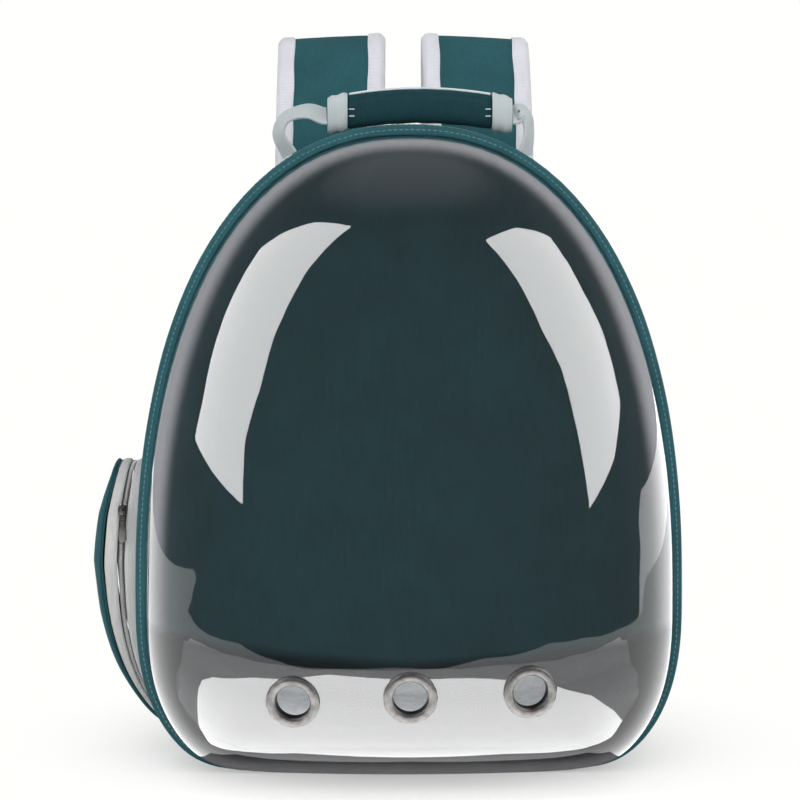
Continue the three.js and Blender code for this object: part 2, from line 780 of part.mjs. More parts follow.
// Binding folded round one edge of a strap
function makeBinding(side, edge) {
  const covered = BINDING_THICK + GAP;
  return hollowedLoft(stripRings(strapStations(side), (station) => {
    const rim = station.width / 2;
    const inner = rim - BINDING_WIDTH;
    const high = STRAP_THICK / 2 + covered;
    const low = STRAP_THICK / 2 + GAP;
    const bend = STRAP_THICK * 0.3;
    return [
      [inner, high], [rim - bend, high], [rim, high - bend], [rim, bend - high],
      [rim - bend, -high], [inner, -high], [inner, -low], [rim - BINDING_THICK - bend * 0.6, -low],
      [rim - BINDING_THICK, bend - low], [rim - BINDING_THICK, low - bend],
      [rim - BINDING_THICK - bend * 0.6, low], [inner, low],
    ].map(([across, up]) => [edge * across, up]);
  }));
}

// Lower end of each strap: buckle under the padded end, webbing down to a sewn tab

function strapEnd(side) {
  const stations = strapStations(side);
  const last = stations.at(-1);
  const along = last.across.clone().cross(last.up).normalize();
  if (along.z > 0) {
    along.negate();
  }
  return { centre: last.centre, across: last.across, up: last.up, along };
}

function makeBuckle(side) {
  const end = strapEnd(side);
  const outer = (share) => end.centre.clone().addScaledVector(end.along, GAP + BUCKLE_TALL * share);
  const ringAt = (half, tallLow, tallHigh, up) => [
    [-half, tallLow], [half, tallLow], [half, tallHigh], [-half, tallHigh],
  ].map(([across, tall]) => outer(tall).addScaledVector(end.across, across).addScaledVector(end.up, up));
  const half = BUCKLE_WIDTH / 2;
  const slot = WEBBING_WIDTH / 2 + 1;
  const thick = BUCKLE_THICK / 2;
  return hoop([
    ringAt(half, 0, 1, -thick),
    ringAt(half, 0, 1, thick),
    ringAt(slot, 0.25, 0.8, thick),
    ringAt(slot, 0.25, 0.8, -thick),
  ]);
}

function tabTop(side) {
  return new THREE.Vector3(side * TAB_X, BODY_BACK + SEAT_GAP + TAB_THICK / 2, TAB_Z);
}

// The webbing loops over the buckle's lower bar and runs down to the tab
function makeLowerWebbing(side) {
  const end = strapEnd(side);
  const start = end.centre.clone()
    .addScaledVector(end.along, 2 * GAP + BUCKLE_TALL + WEBBING_THICK * 0.8);
  const tab = tabTop(side);
  const finish = tab.clone().add(new THREE.Vector3(0, TAB_THICK / 2 + GAP + WEBBING_THICK / 2, -TAB_TALL * 0.15));
  const lean = finish.clone().add(new THREE.Vector3(0, WEBBING_THICK * 1.2, TAB_TALL * 0.5));
  const dropped = start.clone().addScaledVector(end.along, BUCKLE_TALL * 0.5);
  const sagging = start.clone().lerp(finish, 0.55).add(new THREE.Vector3(0, 4, -6));
  const curve = new THREE.CatmullRomCurve3([start, dropped, sagging, lean, finish]);
  const level = new THREE.Vector3(1, 0, 0);
  const stations = stationsOn(curve, WEBBING_STEPS, (share) => end.across.clone().lerp(level, share));
  return strip(stations, () => plateSection(WEBBING_WIDTH, WEBBING_THICK));
}

// Three-cornered tab sewn flat on the back
function makeTab(side) {
  const top = tabTop(side);
  const half = TAB_WIDTH / 2;
  const tip = WEBBING_WIDTH / 2 + 1;
  const ringAt = (y) => [[-half, -0.6], [half, -0.6], [tip, 0.4], [-tip, 0.4]].map(([across, high]) => (
    new THREE.Vector3(top.x + across, y, top.z + high * TAB_TALL)
  ));
  return loft([ringAt(top.y - TAB_THICK / 2), ringAt(top.y + TAB_THICK / 2)]);
}

// Back panel

function backPadRing(y, extra) {
  const inset = BACK_PAD_INSET + extra;
  const low = BACK_PAD_LOW + extra;
  const high = BACK_PAD_TOP - extra;
  const middle = (low + high) / 2;
  return range(PANEL_STEPS).map((i) => {
    const angle = (2 * Math.PI * (i + 0.5)) / PANEL_STEPS;
    const c = Math.cos(angle);
    const s = Math.sin(angle);
    const z = middle + ((high - low) / 2) * Math.sign(s) * Math.abs(s) ** 0.4;
    const x = halfWidthAt(z, inset) * Math.sign(c) * Math.abs(c) ** 0.35;
    return new THREE.Vector3(x, y, z);
  });
}

function makeBackPad() {
  const rows = [
    { out: 0, extra: 0.3 },
    { out: 0.45, extra: 0 },
    { out: 0.85, extra: 0.5 },
    { out: 1, extra: 1.6 },
  ];
  return loft(rows.map((row) => (
    backPadRing(BODY_BACK + SEAT_GAP + row.out * BACK_PAD_THICK, row.extra * BACK_PAD_THICK)
  )));
}

// Patch over the roots of both straps
function makeYoke() {
  const half = STRAP_X + STRAP_WIDTH / 2 + YOKE_PROUD;
  const front = STRAP_FACE + STRAP_THICK / 2 + BINDING_THICK + 2 * GAP;
  const low = STRAP_ROOT_Z - YOKE_TALL * 0.45;
  const high = STRAP_ROOT_Z + YOKE_TALL * 0.4;
  const seat = BODY_BACK + SEAT_GAP;
  const hem = STRAP_ROOT_Z - (STRAP_WIDTH / 2) * STRAP_ROLL - 2 * GAP;
  const sectionAt = (x) => [
    [seat, low], [front + YOKE_THICK, low + YOKE_THICK], [front + YOKE_THICK, high], [front, high], [front, hem],
    [seat, hem],
  ].map(([y, z]) => new THREE.Vector3(x, y, z));
  return hollowedLoft([sectionAt(-half), sectionAt(half)]);
}

// Side pocket

// How far the pocket stands out from the shell, as a share of POCKET_OUT at shares of its height
const POCKET_SIDE = [
  { high: 0, out: 0.34 },
  { high: 0.12, out: 0.46 },
  { high: 0.28, out: 0.66 },
  { high: 0.46, out: 0.88 },
  { high: 0.64, out: 1 },
  { high: 0.82, out: 0.94 },
  { high: 1, out: 0.76 },
];

function pocketOut(z) {
  const share = THREE.MathUtils.clamp((z - POCKET_LOW) / (POCKET_HIGH - POCKET_LOW), 0, 1);
  const above = POCKET_SIDE.findIndex((row) => row.high >= share);
  const high = POCKET_SIDE[Math.max(1, above)];
  const low = POCKET_SIDE[Math.max(1, above) - 1];
  return POCKET_OUT * lerp(low.out, high.out, (share - low.high) / (high.high - low.high));
}

// Ring of the pocket, drawn in by inset, at a share of its height off the shell, moved out by extra
function pocketRing(share, inset, extra = 0, scale = 1) {
  const middle = (POCKET_LOW + POCKET_HIGH) / 2;
  const tall = ((POCKET_HIGH - POCKET_LOW) / 2 - inset) * scale;
  const wide = (POCKET_HALF_DEPTH - inset) * scale;
  const power = 2 / POCKET_POWER;
  return range(POCKET_STEPS).map((i) => {
    const angle = (2 * Math.PI * i) / POCKET_STEPS;
    const c = Math.cos(angle);
    const s = Math.sin(angle);
    const z = middle + tall * Math.sign(s) * Math.abs(s) ** power;
    const taper = 1 - 0.16 * Math.max(0, -s);
    const y = POCKET_Y + wide * taper * Math.sign(c) * Math.abs(c) ** power;
    return new THREE.Vector3(-halfWidthAt(z) - SEAT_GAP - pocketOut(z) * share - extra, y, z);
  });
}

function pocketHoop(from, to, sink = 0) {
  return hoop([
    pocketRing(from, sink),
    pocketRing(to, sink),
    pocketRing(to, POCKET_WALL),
    pocketRing(from, POCKET_WALL),
  ]);
}

const POCKET_ZIP_SHARE = POCKET_ZIP_WIDTH / POCKET_OUT;
const POCKET_GAP_SHARE = (GAP * 3) / POCKET_OUT;
const POCKET_FACE_SHARE = POCKET_FACE_THICK / POCKET_OUT;
const POCKET_SPLIT = 0.46;

function makePocketFace() {
  const rows = [
    { scale: 0.45, crown: 0.9 },
    { scale: 0.72, crown: 0.72 },
    { scale: 0.9, crown: 0.42 },
  ];
  const edge = 1 - POCKET_FACE_SHARE;
  const outer = rows.map((row) => pocketRing(1, 0, row.crown * POCKET_FACE_CROWN, row.scale));
  const inner = rows.map((row) => (
    pocketRing(1, POCKET_WALL, row.crown * POCKET_FACE_CROWN - POCKET_FACE_THICK, row.scale)
  ));
  return loft([
    ...outer,
    pocketRing(1, 0, POCKET_FACE_CROWN * 0.12, 0.985),
    pocketRing(edge, 0, 0, 1),
    pocketRing(edge, POCKET_WALL, 0, 1),
    ...inner.reverse(),
  ]);
}

function makePocketSlider() {
  const high = lerp(POCKET_LOW, POCKET_HIGH, 0.8);
  const x = -halfWidthAt(high) - SEAT_GAP - pocketOut(high) * POCKET_SPLIT;
  const near = pocketRing(POCKET_SPLIT, 0).filter((p) => Math.abs(p.z - high) < 2 * PULL_LENGTH);
  const seat = Math.min(...near.map((p) => p.y)) - SEAT_GAP;
  const rows = [
    { up: -1, width: 0.5, thick: 0.6 },
    { up: -0.9, width: 0.55, thick: 0.6 },
    { up: -0.3, width: 0.5, thick: 0.6 },
    { up: -0.2, width: 0.8, thick: 1 },
    { up: 0.4, width: 0.9, thick: 1 },
    { up: 0.6, width: 0.6, thick: 0.8 },
  ];
  return loft(rows.map((row) => {
    const half = (SLIDER_WIDTH * row.width) / 2.4;
    const z = high + row.up * PULL_LENGTH;
    return [
      new THREE.Vector3(x - half, seat, z),
      new THREE.Vector3(x + half, seat, z),
      new THREE.Vector3(x + half, seat - PULL_THICK * row.thick, z),
      new THREE.Vector3(x - half, seat - PULL_THICK * row.thick, z),
    ];
  }));
}

// Assembly
const seats = eyeletSeats();
const sides = [['left', -1], ['right', 1]];

addPiece('shell', makeShell(), GREEN_CLOTH);
addPiece('front_frame', makeFrontFrame(), GREEN_CLOTH);
addPiece('dome', makeDome(seats), SMOKY_CLEAR);
for (const seat of seats) {
  addPiece(`vent_eyelet_${seat.name}`, makeEyelet(seat), PEWTER);
}
addPiece('main_zip', makeMainZip(), ZIP_TAPE);
addPiece('floor_pad', makeFloorPad(), PAD_CLOTH);
addPiece('back_pad', makeBackPad(), MESH_CLOTH);
addPiece('strap_yoke', makeYoke(), GREEN_CLOTH);
addPiece('handle_grip', makeGrip(), GREEN_CLOTH);
for (const [name, side] of sides) {
  addPiece(`zip_slider_${name}`, makeMainSlider(side), PEWTER);
  addPiece(`handle_band_${name}`, makeGripBand(side), GREY_CLOTH);
  addPiece(`handle_webbing_${name}`, makeHandleWebbing(side), GREY_CLOTH);
  addPiece(`shoulder_strap_${name}`, makeStrap(side), GREEN_CLOTH);
  addPiece(`strap_binding_${name}_outer`, makeBinding(side, side), GREY_CLOTH);
  addPiece(`strap_binding_${name}_inner`, makeBinding(side, -side), GREY_CLOTH);
  addPiece(`strap_buckle_${name}`, makeBuckle(side), DARK_PLASTIC);
  addPiece(`strap_webbing_${name}`, makeLowerWebbing(side), GREY_CLOTH);
  addPiece(`webbing_tab_${name}`, makeTab(side), GREEN_CLOTH);
}
addPiece('pocket_gusset_inner', pocketHoop(0, POCKET_SPLIT - POCKET_ZIP_SHARE / 2), GREY_CLOTH);
addPiece('pocket_zip', pocketHoop(
  POCKET_SPLIT - POCKET_ZIP_SHARE / 2 + POCKET_GAP_SHARE,
  POCKET_SPLIT + POCKET_ZIP_SHARE / 2 - POCKET_GAP_SHARE,
  POCKET_ZIP_SINK,
), ZIP_COIL);
addPiece('pocket_gusset_outer', pocketHoop(
  POCKET_SPLIT + POCKET_ZIP_SHARE / 2,
  1 - POCKET_FACE_SHARE - POCKET_GAP_SHARE,
), GREY_CLOTH);
addPiece('pocket_face', makePocketFace(), GREEN_CLOTH);
addPiece('pocket_slider', makePocketSlider(), PEWTER);

export default part;
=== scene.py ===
"""Looks of the bubble pet carrier backpack, built around its packed CAD frame."""
import math

import bmesh
import bpy
import numpy as np
from bpy.props import FloatProperty, FloatVectorProperty, PointerProperty
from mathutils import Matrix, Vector


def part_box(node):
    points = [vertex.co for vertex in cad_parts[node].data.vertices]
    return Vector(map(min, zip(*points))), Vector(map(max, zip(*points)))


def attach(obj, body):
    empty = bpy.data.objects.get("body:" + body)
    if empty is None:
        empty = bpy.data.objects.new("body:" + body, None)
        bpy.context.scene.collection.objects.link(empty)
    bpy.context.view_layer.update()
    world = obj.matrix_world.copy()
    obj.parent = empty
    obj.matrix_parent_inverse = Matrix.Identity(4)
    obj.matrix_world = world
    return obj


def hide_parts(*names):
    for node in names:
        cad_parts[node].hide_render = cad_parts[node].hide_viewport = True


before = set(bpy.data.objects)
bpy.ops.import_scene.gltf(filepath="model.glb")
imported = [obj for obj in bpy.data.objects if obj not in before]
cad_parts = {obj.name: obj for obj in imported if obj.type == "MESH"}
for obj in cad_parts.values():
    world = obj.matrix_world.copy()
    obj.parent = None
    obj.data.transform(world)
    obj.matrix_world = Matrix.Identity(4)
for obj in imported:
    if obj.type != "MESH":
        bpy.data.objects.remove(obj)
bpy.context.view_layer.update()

bl_info = {
    "name": "Bubble pet carrier",
    "version": (1, 0, 0),
    "blender": (4, 5, 0),
    "location": "3D View > Sidebar > Carrier",
    "description": "Makes a backpack with a clear bubble front around its CAD frame",
    "category": "Add Mesh",
}

MM = 0.001
SIDES = (("left", -1), ("right", 1))

# Shape of the body's outline
UPPER_POWER, LOWER_POWER, CORNER_POWER = 2.28, 2.83, 22
TOP_STEPS, SIDE_STEPS, BASE_STEPS = 80, 28, 24


def linear(red, green, blue):
    """A colour given as 0 to 255 on screen, as Blender's linear light."""
    shares = [value / 255 for value in (red, green, blue)]
    return tuple(s / 12.92 if s < 0.04 else ((s + 0.055) / 1.055) ** 2.4 for s in shares)


def length(name, description, millimetres):
    return FloatProperty(name=name, description=description, default=millimetres * MM, min=0, precision=4,
                         subtype="DISTANCE", unit="LENGTH")


def colour(name, description, *shown):
    return FloatVectorProperty(name=name, description=description, default=linear(*shown), min=0, max=1,
                               size=3, subtype="COLOR")


def share(name, description, default, most=1.0):
    return FloatProperty(name=name, description=description, default=default, min=0, max=most,
                         subtype="FACTOR")


def brightness(name, description, default):
    return share(name, description, default, most=30)


def watts(name, description, default):
    return FloatProperty(name=name, description=description, default=default, min=0, unit="POWER")


class BodySizes(bpy.types.PropertyGroup):
    """Sizes of the cloth body"""
    half_width: length("Half width", "From the middle to the widest side", 175.5)
    height: length("Height", "From the floor to the top of the body", 416)
    widest_z: length("Widest height", "Height at which the body is widest", 115.5)
    base_half_width: length("Base half width", "Half the width of the flat underside", 127)
    front: length("Front", "From the middle forward to the frame's face", 80)
    back: length("Back", "From the middle back to the back panel", 75)
    frame_depth: length("Frame depth", "Depth of the front frame", 21)
    wall: length("Wall", "Thickness of the padded cloth wall", 3.5)
    back_round: length("Back round", "How far the back edge is drawn in", 13)
    lip_width: length("Lip width", "Width of the frame's lip round the dome", 6.2)
    zip_width: length("Zip width", "Width of the main zip's tape", 13)


class DomeSizes(bpy.types.PropertyGroup):
    """Sizes of the clear dome and its vents"""
    reach: length("Reach", "How far the dome stands out from its rim", 114)
    wall: length("Wall", "Thickness of the clear wall", 2)
    peak_z: length("Peak height", "Height of the dome's foremost point", 142)
    bore: length("Vent bore", "Clear opening of a vent", 21)
    ring: length("Vent ring", "Outer diameter of a vent's ring", 33)
    pitch: length("Vent pitch", "Distance between vents", 73)
    vent_z: length("Vent height", "Height of the middle vent", 68)


class StrapSizes(bpy.types.PropertyGroup):
    """Sizes of the shoulder straps"""
    width: length("Width", "Width over both bindings", 75)
    thick: length("Thickness", "Thickness of the padded strap", 8)
    middle_x: length("Place", "From the middle of the bag to a strap's middle", 50)
    root_z: length("Root height", "Height of the sewn root", 344)
    crest_z: length("Crest height", "Height of the top of the arch", 480)
    out: length("Reach", "How far the arch stands out from the back", 88)
    binding: length("Binding width", "Width of the tape folded round the edges", 12)
    webbing: length("Webbing width", "Width of the lower webbing", 25)


class HandleSizes(bpy.types.PropertyGroup):
    """Sizes of the carrying handle"""
    grip_length: length("Grip length", "Length of the wrapped grip", 94)
    grip_tall: length("Grip height", "Height of the grip's section", 23)
    grip_thick: length("Grip thickness", "Depth of the grip's section", 15)
    foot_x: length("Foot", "From the middle to a sewn foot", 77)
    loop_width: length("Loop width", "Width of the handle's webbing", 20)


class PocketSizes(bpy.types.PropertyGroup):
    """Sizes of the side pocket"""
    low: length("Low", "Height of the pocket's lower end", 20)
    high: length("High", "Height of the pocket's upper end", 193)
    half_depth: length("Half depth", "Half the pocket's size front to back", 49)
    out: length("Stand-off", "How far the pocket's edge stands out", 26)
    crown: length("Crown", "How far the pocket's face bulges", 6)


class CarrierColours(bpy.types.PropertyGroup):
    """Colours of the cloth, plastic and metal"""
    cloth: colour("Cloth", "Woven cloth of the body", 33, 76, 82)
    grip: colour("Grip", "Darker cloth of the handle grip", 16, 52, 58)
    handle_tape: colour("Handle tape", "Grey tape and webbing of the handle", 164, 172, 174)
    thread: colour("Thread", "Thread on the green cloth", 52, 92, 97)
    binding: colour("Binding", "Tape folded round the straps", 196, 197, 203)
    webbing: colour("Webbing", "Webbing at the lower ends of the straps", 184, 191, 195)
    gusset: colour("Gusset", "Pale cloth round the pocket", 190, 190, 189)
    pad: colour("Floor pad", "Plush of the floor pad", 234, 235, 236)
    mesh: colour("Mesh", "Spacer mesh against the back", 44, 56, 62)
    tape: colour("Zip tape", "Tape of the main zip", 36, 66, 71)
    coil: colour("Zip coil", "Coil of the zips", 70, 72, 72)
    dome: colour("Dome", "What each face of the dome lets through", 229, 229, 231)
    pewter: colour("Pewter", "Rings, sliders and pulls", 60, 59, 58)
    plastic: colour("Plastic", "Buckles", 36, 42, 46)


class StudioSettings(bpy.types.PropertyGroup):
    """Light of the plain studio"""
    windows: brightness("Windows", "The two large windows that the dome mirrors", 13.6)
    strip: brightness("Floor strip", "The lit strip of floor that the dome mirrors", 14.4)
    table: brightness("Table", "The table that the dome mirrors", 2.1)
    side_card: brightness("Side card", "The low card at the right that the dome mirrors", 3.6)
    footprint: brightness("Footprint", "The shaded table under the carrier that the dome mirrors", 0.12)
    sky: brightness("Sky", "The pale walls behind the carrier", 1.15)
    front: watts("Front", "Power of the wide light in front", 35)
    top: watts("Top", "Power of the wide light overhead", 17)
    side: watts("Sides", "Power of each soft light beside the carrier", 2.5)


def settings(name):
    return getattr(bpy.context.scene, "carrier_" + name)


# Modelling by hand, in code

def only(obj):
    """Makes obj the one selected and active object."""
    bpy.ops.object.select_all(action="DESELECT")
    obj.select_set(True)
    bpy.context.view_layer.objects.active = obj
    return obj


def named(name):
    obj = bpy.context.object
    obj.name = obj.data.name = name
    return obj


def added(name, kind, **choices):
    """A new simple form of that kind, such as a circle, alone in the selection."""
    bpy.ops.object.select_all(action="DESELECT")
    getattr(bpy.ops.mesh, f"primitive_{kind}_add")(**choices)
    return named(name)


def placed(name, data):
    """A new object with that data, in the scene."""
    obj = bpy.data.objects.new(name, data)
    bpy.context.scene.collection.objects.link(obj)
    return obj


def drawn_out(name, rings, ends="fill", hoop=False, smooth=35):
    """A body drawn out ring by ring from a circle. Its UVs are metres round and along the rings."""
    rings = np.array(rings, float)
    size = len(rings[0])
    if hoop:
        rings = np.concatenate([rings, rings[:1]])
    obj = added(name, "circle", vertices=size, radius=0.1)
    bpy.ops.object.mode_set(mode="EDIT")
    mesh = bmesh.from_edit_mesh(obj.data)
    spot = mesh.verts.layers.int.new("spot")
    mesh.verts.ensure_lookup_table()
    for k, vert in enumerate(mesh.verts):
        vert.co, vert[spot] = rings[0][k], k
    for row, ring in enumerate(rings[1:], 1):
        bmesh.update_edit_mesh(obj.data)
        bpy.ops.mesh.extrude_edges_move()
        mesh = bmesh.from_edit_mesh(obj.data)
        spot = mesh.verts.layers.int["spot"]
        for vert in mesh.verts:
            if vert.select:
                k = vert[spot] % size
                vert.co, vert[spot] = ring[k], row * size + k
    around = np.linalg.norm(np.roll(rings, -1, axis=1) - rings, axis=2)
    widest = around[around.sum(axis=1).argmax()]
    u = np.concatenate([[0], np.cumsum(widest)])
    v = np.concatenate([[0], np.cumsum(np.linalg.norm(np.diff(rings, axis=0), axis=2).mean(axis=1))])
    uv = mesh.loops.layers.uv.verify()
    for face in mesh.faces:
        places = [divmod(loop.vert[spot], size) for loop in face.loops]
        wraps = {0, size - 1} <= {k for _, k in places}
        for loop, (row, k) in zip(face.loops, places):
            loop[uv].uv = (u[size if wraps and k == 0 else k], v[row])
    bmesh.update_edit_mesh(obj.data)
    bpy.ops.mesh.select_mode(type="VERT")
    if hoop:
        bpy.ops.mesh.select_all(action="SELECT")
        bpy.ops.mesh.remove_doubles(threshold=1e-6)
    elif ends != "open":
        for row in (0, len(rings) - 1):
            bpy.ops.mesh.select_all(action="DESELECT")
            mesh = bmesh.from_edit_mesh(obj.data)
            spot = mesh.verts.layers.int["spot"]
            for vert in mesh.verts:
                if vert[spot] // size == row:
                    vert.select = True
            mesh.select_flush(True)
            bmesh.update_edit_mesh(obj.data)
            if ends == "point":
                bpy.ops.mesh.merge(type="CENTER")
            else:
                bpy.ops.mesh.edge_face_add()
    bpy.ops.mesh.select_all(action="SELECT")
    bpy.ops.mesh.normals_make_consistent(inside=False)
    bpy.ops.object.mode_set(mode="OBJECT")
    obj.data.attributes.remove(obj.data.attributes["spot"])
    bpy.ops.object.shade_smooth_by_angle(angle=math.radians(smooth))
    return obj


def applied(obj, kind, **choices):
    """Adds one modifier to obj with its settings and applies it."""
    only(obj)
    bpy.ops.object.modifier_add(type=kind)
    modifier = obj.modifiers[-1]
    for key, value in choices.items():
        setattr(modifier, key, value)
    bpy.ops.object.modifier_apply(modifier=modifier.name)
    return obj


def joined(name, objects):
    only(objects[0])
    for obj in objects:
        obj.select_set(True)
    if len(objects) > 1:
        bpy.ops.object.join()
    return named(name)


def finished(obj, material, stands_for=()):
    """Gives a piece its finish and its body, and hides the CAD nodes that it stands for."""
    if not obj.data.materials:
        obj.data.materials.append(material)
    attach(obj, "root")
    if stands_for:
        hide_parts(*stands_for)
    return obj


def rounded(points, radius, steps=4):
    """A closed outline with every corner eased."""
    points = np.array(points, float)
    out = []
    for before, here, after in zip(np.roll(points, 1, 0), points, np.roll(points, -1, 0)):
        start = here + (before - here) * min(0.48, radius / np.linalg.norm(before - here))
        stop = here + (after - here) * min(0.48, radius / np.linalg.norm(after - here))
        for t in np.linspace(0, 1, steps + 1):
            out.append((1 - t) ** 2 * start + 2 * t * (1 - t) * here + t * t * stop)
    return np.array(out)


def unit(vectors):
    return vectors / np.linalg.norm(vectors, axis=-1, keepdims=True)


def smooth_line(points, count):
    """Evenly spaced points on a smooth line through the given ones."""
    p = np.array(points, float)
    p = np.vstack([2 * p[0] - p[1], p, 2 * p[-1] - p[-2]])
    dense = []
    for a, b, c, d in zip(p, p[1:], p[2:], p[3:]):
        t0, t1, t2 = [max(np.linalg.norm(q - r) ** 0.5, 1e-5) for q, r in ((b, a), (c, b), (d, c))]
        m1 = ((b - a) / t0 - (c - a) / (t0 + t1) + (c - b) / t1) * t1
        m2 = ((c - b) / t1 - (d - b) / (t1 + t2) + (d - c) / t2) * t1
        for t in np.linspace(0, 1, 40, endpoint=False):
            dense.append((2 * t**3 - 3 * t**2 + 1) * b + (t**3 - 2 * t**2 + t) * m1
                         + (3 * t**2 - 2 * t**3) * c + (t**3 - t**2) * m2)
    return even(np.vstack([dense, p[-2]]), count)


def even(line, count):
    """The same line with count evenly spaced points."""
    line = np.asarray(line, float)
    gone = np.concatenate([[0], np.cumsum(np.linalg.norm(np.diff(line, axis=0), axis=1))])
    places = np.linspace(0, gone[-1], count)
    return np.stack([np.interp(places, gone, line[:, axis]) for axis in range(3)], axis=1)


def stations(line, across):
    """Centre, across and up directions at each point of a line."""
    along = unit(np.gradient(line, axis=0))
    across = np.broadcast_to(np.asarray(across, float), line.shape)
    across = unit(across - (across * along).sum(1, keepdims=True) * along)
    return line, across, np.cross(across, along)


def swept(name, places, section_at, **choices):
    """A strip along stations. section_at gives pairs of across and up for a station's number."""
    rings = []
    for i, (centre, across, up) in enumerate(zip(*places)):
        section = np.asarray(section_at(i), float)
        rings.append(centre + section[:, :1] * across + section[:, 1:] * up)
    return drawn_out(name, rings, **choices)


def flat_section(half_wide, half_thick, ease, steps=3):
    """The eased section of a flat tape."""
    return rounded([(-half_wide, -half_thick), (half_wide, -half_thick), (half_wide, half_thick),
                    (-half_wide, half_thick)], ease, steps)


def cord_round(name, line, normal, radius, closed=False):
    """Piping: a round cord along a line, eight points round."""
    places = stations(line, normal)
    if closed:
        along = unit(np.roll(line, -1, 0) - np.roll(line, 1, 0))
        across = unit(np.cross(along, np.broadcast_to(normal, line.shape)))
        places = (line, across, np.cross(across, along))
    turn = np.linspace(0, 2 * math.pi, 8, endpoint=False)
    ring = radius * np.stack([np.cos(turn), np.sin(turn)], axis=1)
    return swept(name, places, lambda i: ring, hoop=closed, smooth=80)


def repeated(name, pattern, centres, ends, rises):
    """Copies of a pattern piece as one joined mesh, long axes along ends and tops along rises."""
    co = np.array([v.co for v in pattern.data.vertices])
    faces = [tuple(face.vertices) for face in pattern.data.polygons]
    centres, ends, rises = (np.asarray(value, float) for value in (centres, ends, rises))
    ends = unit(ends)
    rises = unit(rises - (rises * ends).sum(1, keepdims=True) * ends)
    turns = np.stack([ends, np.cross(rises, ends), rises], axis=2)
    points = np.einsum("nij,vj->nvi", turns, co) + centres[:, None]
    mesh = bpy.data.meshes.new(name)
    mesh.from_pydata(points.reshape(-1, 3), [],
                     [tuple(k + n * len(co) for k in face) for n in range(len(centres)) for face in faces])
    obj = placed(name, mesh)
    bpy.data.objects.remove(pattern)
    only(obj)
    bpy.ops.object.shade_smooth()
    return obj


def pattern_bead(long, wide, tall):
    """One stitch, a bead drawn long."""
    obj = added("bead", "uv_sphere", segments=6, ring_count=4, radius=0.5, rotation=(0, math.pi / 2, 0))
    bpy.ops.object.transform_apply(location=True, rotation=True, scale=True)
    obj.scale = (long, wide, tall)
    bpy.ops.object.transform_apply(location=True, rotation=True, scale=True)
    return obj


def pattern_block(long, wide, tall, ease):
    """One zip tooth, an eased block."""
    obj = added("block", "cube", size=1)
    obj.scale = (long, wide, tall)
    bpy.ops.object.transform_apply(location=True, rotation=True, scale=True)
    return applied(obj, "BEVEL", width=ease, segments=1)


def stitched(name, lines, rises, material, step=3.6, thick=0.7, proud=0.12):
    """Rows of stitches as one piece. Each line is a row of points, each rise the way out of its cloth."""
    spots, ends, tops = [], [], []
    for line, rise in zip(lines, rises):
        line = np.asarray(line, float)
        rise = np.broadcast_to(np.asarray(rise, float), line.shape)
        reach = np.linalg.norm(np.diff(line, axis=0), axis=1).sum()
        count = max(2, int(reach / (step * MM)) + 1)
        points = even(line, 2 * count + 1)[1::2]
        nearest = np.linalg.norm(line[None] - points[:, None], axis=2).argmin(axis=1)
        up = unit(rise[nearest])
        spots.append(points + up * proud * MM)
        ends.append(np.gradient(points, axis=0))
        tops.append(up)
    obj = repeated(name, pattern_bead(step * 0.72 * MM, thick * MM, thick * MM),
                   np.vstack(spots), np.vstack(ends), np.vstack(tops))
    return finished(obj, material)


def stuffed(obj, voxel, pressure, cap, sewn):
    """Swells a closed body as a stuffed cushion. sewn is a test of a point that says where it is held."""
    only(obj)
    obj.data.remesh_voxel_size = voxel
    bpy.ops.object.voxel_remesh()
    start = np.array([v.co for v in obj.data.vertices])
    held = obj.vertex_groups.new(name="held")
    held.add([i for i, co in enumerate(start) if sewn(co)], 1, "REPLACE")
    bpy.ops.object.modifier_add(type="CLOTH")
    cloth = obj.modifiers[-1]
    cloth.settings.quality = 5
    cloth.settings.mass = 0.2
    cloth.settings.use_pressure = True
    cloth.settings.uniform_pressure_force = pressure
    cloth.settings.vertex_group_mass = "held"
    cloth.settings.effector_weights.gravity = 0
    for number in range(1, 21):
        bpy.context.scene.frame_set(number)
    bpy.ops.object.modifier_apply(modifier=cloth.name)
    bpy.context.scene.frame_set(1)
    obj.vertex_groups.clear()
    moved = np.array([v.co for v in obj.data.vertices]) - start
    far = np.linalg.norm(moved, axis=1, keepdims=True)
    shape(obj, lambda co: start + moved * np.minimum(1, cap / np.maximum(far, 1e-9)))
    applied(obj, "SUBSURF", levels=1, render_levels=1)
    bpy.ops.object.shade_smooth()
    return obj


def shape(obj, move):
    """Moves every point of a piece at once."""
    co = np.array([v.co for v in obj.data.vertices])
    obj.data.vertices.foreach_set("co", np.asarray(move(co), np.float32).ravel())
    obj.data.update()
    return obj


def ripple(points, scale=1.0):
    """Slow uneven swelling of stretched cloth, from about -1 to 1."""
    x, y, z = (points * scale).T
    return (np.sin(31 * x + 17 * z + 0.6) + np.sin(43 * y - 21 * z + 2.1) * 0.7
            + np.sin(67 * z + 38 * x + 29 * y) * 0.5 + np.sin(88 * x - 59 * z + 1.3) * 0.4) / 2.6


# Outline of the body

def lower_depth():
    body = settings("body")
    flat = 1 - (body.base_half_width / body.half_width) ** LOWER_POWER
    return body.widest_z / flat ** (1 / LOWER_POWER)


def half_width_at(z, inset=0.0):
    body = settings("body")
    z = np.asarray(z, float)
    power = np.where(z > body.widest_z, UPPER_POWER, LOWER_POWER)
    reach = np.where(z > body.widest_z, body.height - body.widest_z, lower_depth()) - inset
    part = np.minimum(1, np.abs(z - body.widest_z) / reach)
    return (body.half_width - inset) * (1 - part**power) ** (1 / power)


def top_at(x, inset=0.0):
    body = settings("body")
    part = np.minimum(1, np.abs(x) / (body.half_width - inset))
    rise = body.height - body.widest_z - inset
    return body.widest_z + rise * (1 - part**UPPER_POWER) ** (1 / UPPER_POWER)


